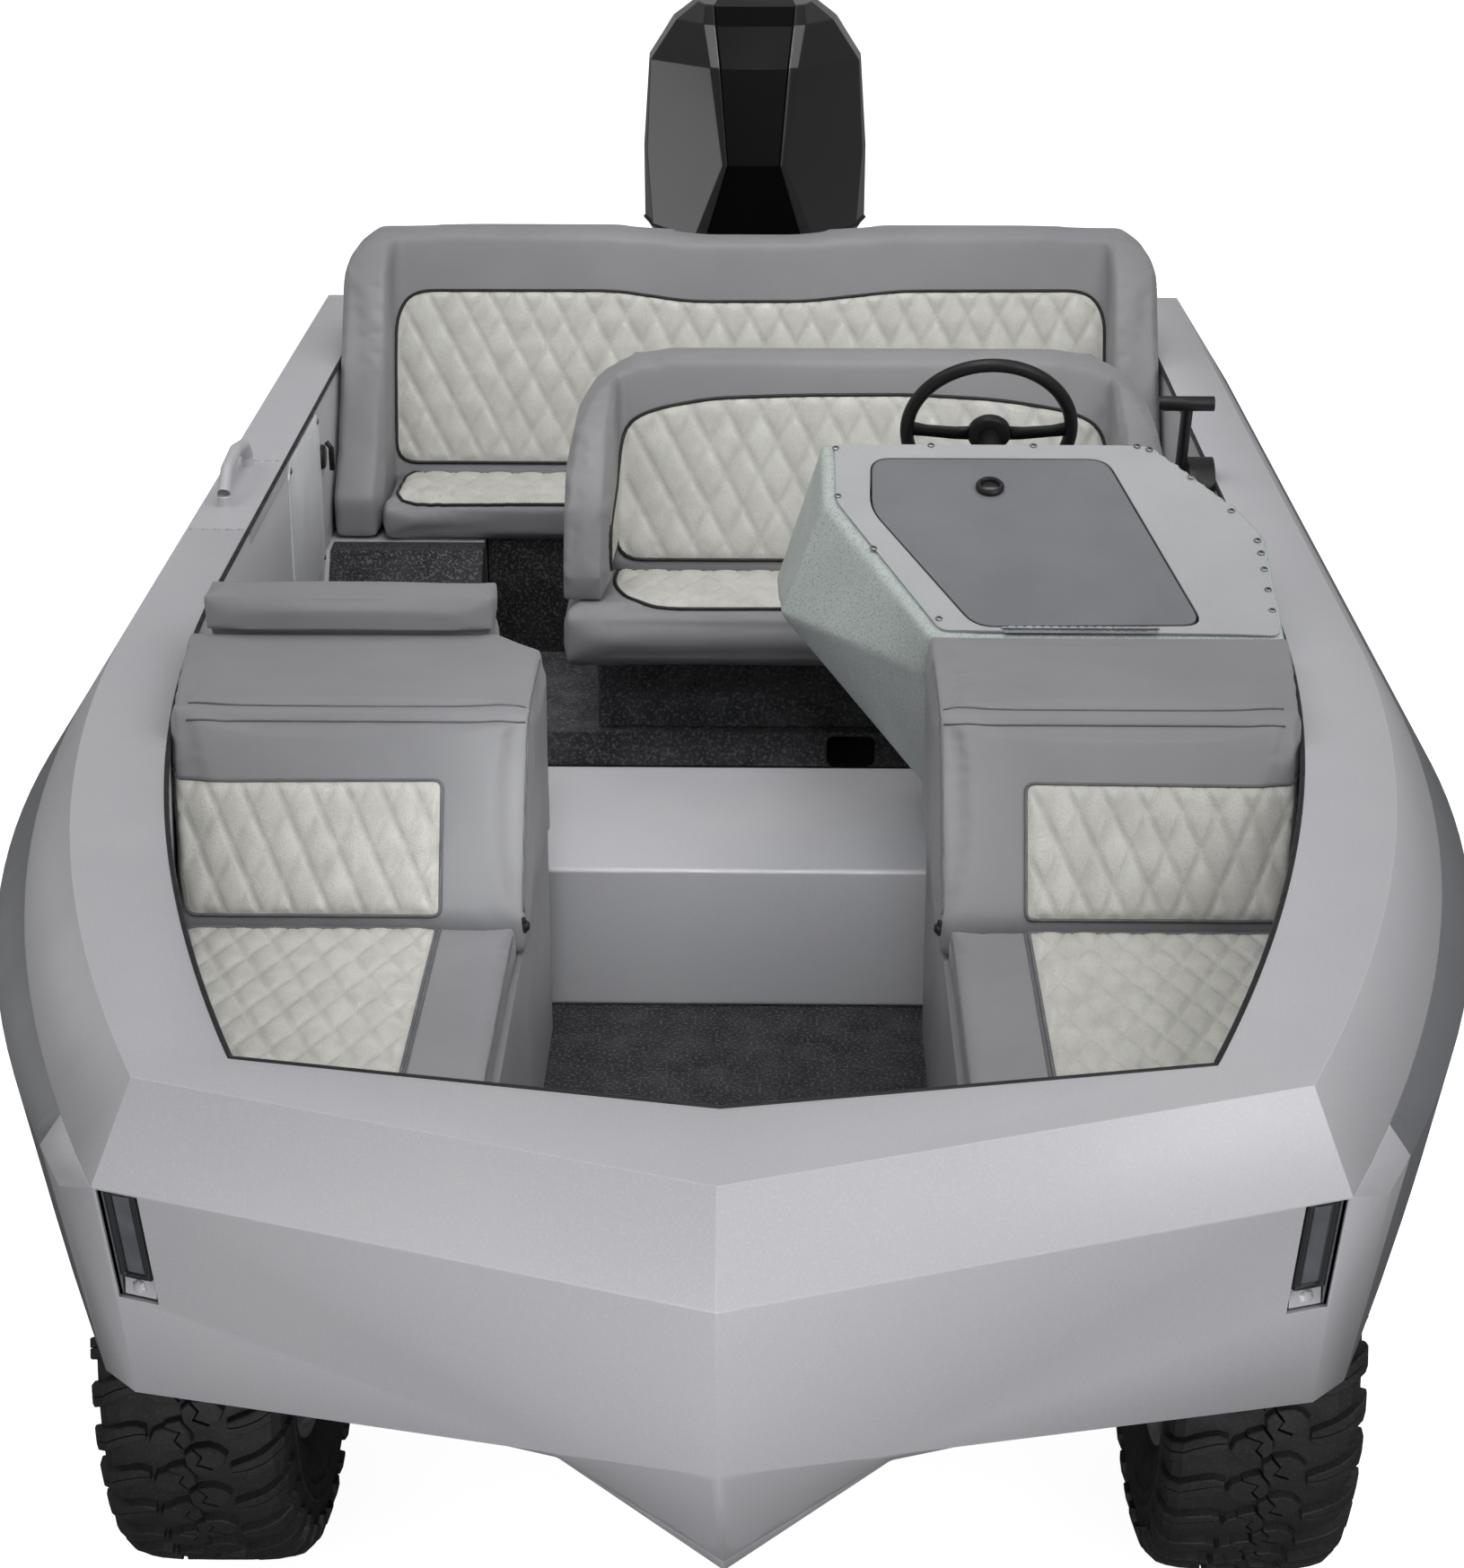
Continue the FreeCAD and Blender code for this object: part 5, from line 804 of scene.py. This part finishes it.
low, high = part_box("steering_wheel")
bar_radius = 12.2
ring = [on_wheel(146 * math.cos(a), 146 * math.sin(a), 0) for a in [2 * math.pi * k / 72 for k in range(72)]]
forms = [tube(ring, bar_radius * MM, True, 16)]
for turn in (-2, 90, 182):
    a = math.radians(turn)
    out, side = (math.cos(a), math.sin(a)), (-math.sin(a), math.cos(a))
    stations = [(26, 15, -9), (60, 13, -11), (110, 12, -7), (138, 15, -2), (147, 19, 0)]
    vertices, faces = [], []
    for run, half, z in stations:
        for across, lift in ((-1, -3.5), (-0.8, 3.5), (0.8, 3.5), (1, -3.5)):
            vertices.append(on_wheel(out[0] * run + side[0] * half * across, out[1] * run + side[1] * half * across,
                                     z + lift))
    for i in range(len(stations) - 1):
        for k in range(4):
            a0, b0 = i * 4 + k, i * 4 + (k + 1) % 4
            faces.append((a0, b0, b0 + 4, a0 + 4))
    faces += [(3, 2, 1, 0), tuple(len(vertices) - 4 + k for k in range(4))]
    forms.append((vertices, faces))
axle = (on_wheel(0, 0, 1) - on_wheel(0, 0, 0)).normalized()
forms.append(lathe([(-20, 34), (-16, 38), (-4, 38), (0, 35), (4, 26), (5.5, 10)], wheel_hub, axle, 40))
helm = make("helm_wheel_rim", [(*gather(forms), black_plastic)], "helm_wheel")
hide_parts("steering_wheel")

# Cockpit edge: weather strip, deck welds, wall plate, latches and studs --------------------------------------

DECK_TOP = 1160
COCKPIT_HALF = 893
CORNER_HALF, CORNER_STATION = 578, 290
STRAIGHT_STATION = 2000


def cockpit_edge(station):
    """Half width of the cockpit opening."""
    if station >= STRAIGHT_STATION:
        return COCKPIT_HALF
    drop = COCKPIT_HALF - CORNER_HALF
    run = STRAIGHT_STATION - CORNER_STATION
    radius = (run * run + drop * drop) / (2 * drop)
    back = STRAIGHT_STATION - station
    return COCKPIT_HALF - (radius - math.sqrt(radius * radius - back * back))


edge = [(0, 177)] + [(cockpit_edge(s), s) for s in range(CORNER_STATION, 2001, 45)] + [(COCKPIT_HALF, 4078)]
line = [at(-x, s, DECK_TOP - 2) for x, s in reversed(edge[1:])] + [at(x, s, DECK_TOP - 2) for x, s in edge]
line = resampled(line, 15 * MM, closed=False)
strip = tube(line, 4.2 * MM, sides=8)
make("weather_strip", [(*strip, black_piping)], "hull")

forms = []
for station in (2326, 2766):
    for x in range(-1000, -900, 22):
        forms.append(tube([at(x, station, DECK_TOP), at(x + 12, station, DECK_TOP)], 1.6 * MM, sides=6))
make("deck_welds", [(*gather(forms), bare_plate)], "hull")

inward = Vector((1, 0, 0))
plate_face = -COCKPIT_HALF + 4.3
corners = [(2790, 838), (2790, 1132), (3150, 1132), (3150, 838)]
screws("wall_plate_screws", [(at(plate_face, s, z), inward) for s, z in corners], "hull", 7)
stem = []
stem.append(lathe([(0, 26), (6, 26), (9, 22)], at(-COCKPIT_HALF, 3206, 1040), inward, 20))
stem.append(tube([at(-COCKPIT_HALF + 12, 3206, 1072), at(-COCKPIT_HALF + 22, 3206, 1060), at(-COCKPIT_HALF + 22, 3206, 1012)],
                 6 * MM, sides=8))
make("wall_latch", [(*gather(stem), black_plastic)], "hull")

for word, side in (("right", -1), ("left", 1)):
    forms = [lathe([(0, 8), (5, 8), (8, 5.5), (9, 2)], at(side * 298, 1050, 975), Vector((-side, 0, 0)), 14)]
    forms.append(tube([at(side * 297, 1058, 962), at(side * 297, 1042, 990)], 3.5 * MM, sides=6))
    make("seat_stud_" + word, [(*gather(forms), black_plastic)], "hull")

# Head lamps: framed lens low in the slot, with a tray and its bolt ------------------------------------------


def bow_plate_station(x, z):
    """Station of the bow plate's face, from its three corners."""
    nose, flange, plate = Vector((0, -72, 1045)), Vector((729, 184, 1045)), Vector((730, 310, 680))
    normal = (flange - nose).cross(plate - nose)
    return nose.y - (normal.x * (x - nose.x) + normal.z * (z - nose.z)) / normal.y


for word, side in (("right", -1), ("left", 1)):
    def in_slot(x, z, sink):
        """Point behind the bow plate's face."""
        return at(side * x, bow_plate_station(x, z) + sink, z)

    frame_bar = [in_slot(682, 892, 16), in_slot(714, 892, 16), in_slot(714, 1034, 16), in_slot(682, 1034, 16)]
    frame_line = resampled(frame_bar, 12 * MM)
    forms = tube(frame_line, 5.5 * MM, True, 8)
    glass = [in_slot(684, 894, 17), in_slot(712, 894, 17), in_slot(712, 1032, 17), in_slot(684, 1032, 17),
             in_slot(688, 898, 13), in_slot(708, 898, 13), in_slot(708, 1028, 13), in_slot(688, 1028, 13)]
    pane = [(4, 5, 6, 7), (0, 1, 5, 4), (1, 2, 6, 5), (2, 3, 7, 6), (3, 0, 4, 7)]
    tray = [in_slot(676, 861, 21), in_slot(716, 861, 21), in_slot(716, 886, 21), in_slot(676, 886, 21),
            in_slot(676, 861, 8), in_slot(716, 861, 8), in_slot(716, 864, 8), in_slot(676, 864, 8)]
    bolt = lathe([(0, 9), (3, 9), (5, 6), (6, 2)], in_slot(697, 873, 15), Vector((side * 0.3, -0.9, 0.25)), 6)
    obj = make("head_lamp_trim_" + word, [(*forms, motor_metal), (glass, pane, lens), (tray, pane, paint),
                                          (*bolt, paint)], "hull", smooth=False)

# Tyres: carcass, two staggered rows of centre blocks and curved shoulder lugs ------------------------------

PITCHES = 34
TREAD_BASE = 391
LUG_TOP = 13.5
# Section of the carcass over the tread: distance across, radius, in millimetres
CROWN = [(0, 391), (55, 391), (92, 388.5), (112, 382), (124, 370), (129, 354), (131, 330)]
# Sidewall from there to the bead
SIDEWALL = [(132, 322), (134.5, 318), (132, 312), (131, 296), (128, 292), (127, 282), (128, 278), (121, 252),
            (115, 240), (110, 234), (108, 228), (111, 223), (108, 218), (96, 217)]


def crown_spot(run):
    """Point and outward normal on the carcass section at a distance along it from the centre."""
    side = 1 if run >= 0 else -1
    left = abs(run)
    for (x0, r0), (x1, r1) in zip(CROWN, CROWN[1:]):
        length = math.hypot(x1 - x0, r1 - r0)
        if left <= length or (x1, r1) == CROWN[-1]:
            share = left / length
            normal = ((r0 - r1) / length, (x1 - x0) / length)
            return side * (x0 + (x1 - x0) * share), r0 + (r1 - r0) * share, side * normal[0], normal[1]
        left -= length


def tread_point(run, arc, lift):
    """Point over the carcass: distance across, distance round, height, in millimetres."""
    x, radius, nx, nr = crown_spot(run)
    radius += nr * lift
    turn = arc / TREAD_BASE
    return Vector((x + nx * lift, radius * math.cos(turn), radius * math.sin(turn)))


def block(points, arc, top=LUG_TOP, flip=False):
    """Tread block over an outline of (across, round), with flared flanks and a bevelled top edge."""
    if flip:
        points = [(-x, -s) for x, s in points]
    middle = Vector((sum(x for x, _ in points), sum(s for _, s in points))) / len(points)
    rings = []
    for grow, lift in ((1.1, -1.5), (1.0, top - 1.6), (0.93, top)):
        ring = [middle + (Vector(point) - middle) * grow for point in points]
        rings.append([tread_point(p.x, p.y + arc, lift) for p in ring])
    count = len(points)
    faces = [tuple(range(2 * count, 3 * count))]
    for level in range(2):
        for i in range(count):
            a, b = level * count + i, level * count + (i + 1) % count
            faces.append((a, b, b + count, a + count))
    return sum(rings, []), faces


def shoulder_lug(arc, side, long):
    """Curved lug from the tread over the shoulder, as a strip along its middle line."""
    spine = [(56, 13), (70, 12), (84, 8), (98, 1), (112, -8), (126, -16), (140, -21), (156 if long else 148, -23)]
    widths = [15, 25, 28, 30, 31, 32, 33, 30]
    vertices, faces = [], []
    for (x, s), width in zip(spine, widths):
        first, last = s - width / 2, s + width / 2
        over = max(0.0, x - 118)
        top = LUG_TOP - over * 0.17
        for edge, lift in ((first - 2, -1.5), (first, top - 1.5), (first + 1.8, top), (s - 1.1, top),
                           (s - 0.6, top - 3), (s + 0.6, top - 3), (s + 1.1, top), (last - 1.8, top),
                           (last, top - 1.5), (last + 2, -1.5)):
            vertices.append(tread_point(side * x, side * edge + arc, lift))
    row = 10
    for i in range(len(spine) - 1):
        for k in range(row - 1):
            a = i * row + k
            faces.append((a, a + 1, a + row + 1, a + row))
    faces.append(tuple(range(row)))
    faces.append(tuple(reversed(range((len(spine) - 1) * row, len(spine) * row))))
    return vertices, faces


# Centre block of one row: an arrow split by a bent slit, as (across, round)
ARROW = [[(-52, 6), (-42, 17), (-28, 22), (-8, 19), (-19, 5), (-11, -7), (-33, -15), (-46, -9)],
         [(-5, 17), (6, 7), (4, -10), (-9, -27), (-26, -22), (-31, -18), (-8, -9), (-16, 4)]]


def tyre_form():
    """Vertices and faces of a tyre about the x axis, in millimetres."""
    forms = []
    section = [(-x, r) for x, r in reversed(CROWN[1:] + SIDEWALL)] + CROWN + SIDEWALL
    sides = 96
    ring, faces = [], []
    for x, radius in section:
        for k in range(sides):
            turn = 2 * math.pi * k / sides
            ring.append(Vector((x, radius * math.cos(turn), radius * math.sin(turn))))
    for i in range(len(section) - 1):
        for k in range(sides):
            a, b = i * sides + k, i * sides + (k + 1) % sides
            faces.append((a, a + sides, b + sides, b))
    forms.append((ring, faces))
    pitch = 2 * math.pi * TREAD_BASE / PITCHES
    for step in range(PITCHES):
        arc = step * pitch
        for outline in ARROW:
            forms.append(block(outline, arc))
            forms.append(block(outline, arc + pitch / 2, flip=True))
        forms.append(shoulder_lug(arc + pitch * 0.1, -1, step % 2 == 0))
        forms.append(shoulder_lug(arc + pitch * 0.6, 1, step % 2 == 1))
    return gather(forms)


TYRE = tyre_form()
TRACK_HALF = 740
FRONT_AXLE = 1010
REAR_AXLE = 3460
AXLE_HEIGHT = 405
WHEELS = [("front_left", 1, FRONT_AXLE), ("front_right", -1, FRONT_AXLE), ("rear_left", 1, REAR_AXLE),
          ("rear_right", -1, REAR_AXLE)]
for word, side, axle in WHEELS:
    hub = at(side * TRACK_HALF, axle, AXLE_HEIGHT)
    vertices = [hub + Vector(v) * MM for v in TYRE[0]]
    low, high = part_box("tyre_" + word)
    vertices = [Vector((min(max(v.x, low.x), high.x), v.y, max(v.z, low.z))) for v in vertices]
    tyre = make("tread_" + word, [(vertices, TYRE[1], rubber)], "wheel_" + word, smooth=False)
    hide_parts("tyre_" + word)
    face = side * 1
    forms = []
    for k in range(6):
        turn = math.radians(60 * k)
        spot = hub + Vector((side * 14, 46 * math.cos(turn), 46 * math.sin(turn))) * MM
        forms.append(lathe([(0, 11), (10, 11), (16, 9), (24, 7), (26, 3)], spot, (side, 0, 0), 6))
    nuts = make("wheel_nuts_" + word, [(*gather(forms), steel)], "wheel_" + word, smooth=False)
    valve = hub + Vector((side * 60, 0, 190)) * MM
    stem = lathe([(0, 5), (12, 4), (14, 3.2), (32, 3.2), (33, 4.4), (42, 4.4), (43, 2)], valve, (side, 0, -0.35), 12)
    make("valve_" + word, [(*stem, black_plastic)], "wheel_" + word)

# Camera, light and floor ------------------------------------------------------------------------------

AMBIENT = 0.525
GLOSS_AMBIENT = 0.2
NEAR_POWER = 38
REAR_POWER = 7
KEY_POWER = 45
LEFT_POWER = 26
HIGH_POWER = 33
RIGHT_POWER = 22
CARD_POWER = 16
STEP_POWER = 0.9
TOP_POWER = 12

TILT = math.radians(22.5)
TURN = math.radians(0.875)
camera = bpy.data.cameras.new("camera")
camera.lens = 68.55
camera.sensor_width = 36
camera.clip_end = 60
camera_object = bpy.data.objects.new("camera", camera)
scene.collection.objects.link(camera_object)
camera_object.location = (0.0596, -5.389, 2.80)
camera_object.rotation_euler = (math.pi / 2 - TILT, 0, TURN)
scene.camera = camera_object

world = bpy.data.worlds.new("studio")
scene.world = world
world.use_nodes = True
tree = world.node_tree
backdrop = tree.nodes["Background"]
path = add(tree, "ShaderNodeLightPath")
seen = add(tree, "ShaderNodeMath", [(0, path.outputs["Is Camera Ray"]), (1, path.outputs["Is Transmission Ray"])],
           operation="MAXIMUM")
backdrop.inputs["Color"].default_value = (1, 1, 1, 1)
around = spread(tree, path.outputs["Is Glossy Ray"], 0.0, 1.0, AMBIENT, GLOSS_AMBIENT)
strength = spread(tree, seen.outputs[0], 0.0, 1.0, around, 1.0)
tree.links.new(strength, backdrop.inputs["Strength"])


def lamp(name, place, target, size, power, beam=180):
    """Square softbox that looks at a target."""
    light = bpy.data.lights.new(name, "AREA")
    light.shape = "SQUARE"
    light.size = size
    light.energy = power
    obj = bpy.data.objects.new(name, light)
    scene.collection.objects.link(obj)
    obj.location = place
    obj.rotation_euler = (Vector(target) - Vector(place)).to_track_quat("-Z", "Y").to_euler()
    light.spread = math.radians(beam)


# Softboxes: name, place, target, size, power
LAMPS = [("near", (0.0, -4.5, 0.3), (0, -2.0, 0.8), 1.0, NEAR_POWER),
         ("key", (3.0, -3.6, 3.8), (0, 0, 0.8), 2.4, KEY_POWER),
         ("left", (-3.4, -1.0, 5.6), (0, 0, 0.8), 2.4, LEFT_POWER),
         ("right", (3.4, -1.0, 5.6), (0, 0, 0.8), 2.4, RIGHT_POWER),
         ("card", (-6.0, 2.6, 0.9), (0, 2.2, 1.3), 2.4, CARD_POWER),
         ("high", (0.0, -3.2, 5.2), (0, 0, 0.8), 2.2, HIGH_POWER),
         ("top", (0.0, 2.2, 5.2), (0, 1.0, 0.8), 3.0, TOP_POWER)]
for name, place, target, width, power in LAMPS:
    lamp(name, place, target, width, power)
lamp("rear", (0.0, -0.8, 4.6), (0, 1.1, 1.2), 1.2, REAR_POWER, 70)
lamp("step", (-0.1, -3.6, 2.9), (-0.12, -0.85, 0.62), 0.5, STEP_POWER, 24)

floor_mesh = bpy.data.meshes.new("floor")
reach = 14
floor_mesh.from_pydata([(-reach, -reach, 0), (reach, -reach, 0), (reach, reach, 0), (-reach, reach, 0)], [], [(0, 1, 2, 3)])
floor = bpy.data.objects.new("floor", floor_mesh)
scene.collection.objects.link(floor)
floor.location = (0, 0, -0.001)
floor_material = bpy.data.materials.new("floor")
floor_material.use_nodes = True
tree = floor_material.node_tree
surface = tree.nodes["Principled BSDF"]
surface.inputs["Roughness"].default_value = 0.9
path = add(tree, "ShaderNodeLightPath")
glow = add(tree, "ShaderNodeMath", [(0, path.outputs["Is Camera Ray"]), (1, path.outputs["Is Transmission Ray"])],
           operation="MAXIMUM")
colour = blend_colours(tree, glow.outputs[0], tone(110, 110, 112), tone(222, 222, 223))
tree.links.new(colour, surface.inputs["Base Color"])
surface.inputs["Emission Color"].default_value = (1, 1, 1, 1)
tree.links.new(spread(tree, glow.outputs[0], 0.0, 1.0, 0.0, 0.9), surface.inputs["Emission Strength"])
floor_mesh.materials.append(floor_material)

scene.view_settings.view_transform = "Standard"
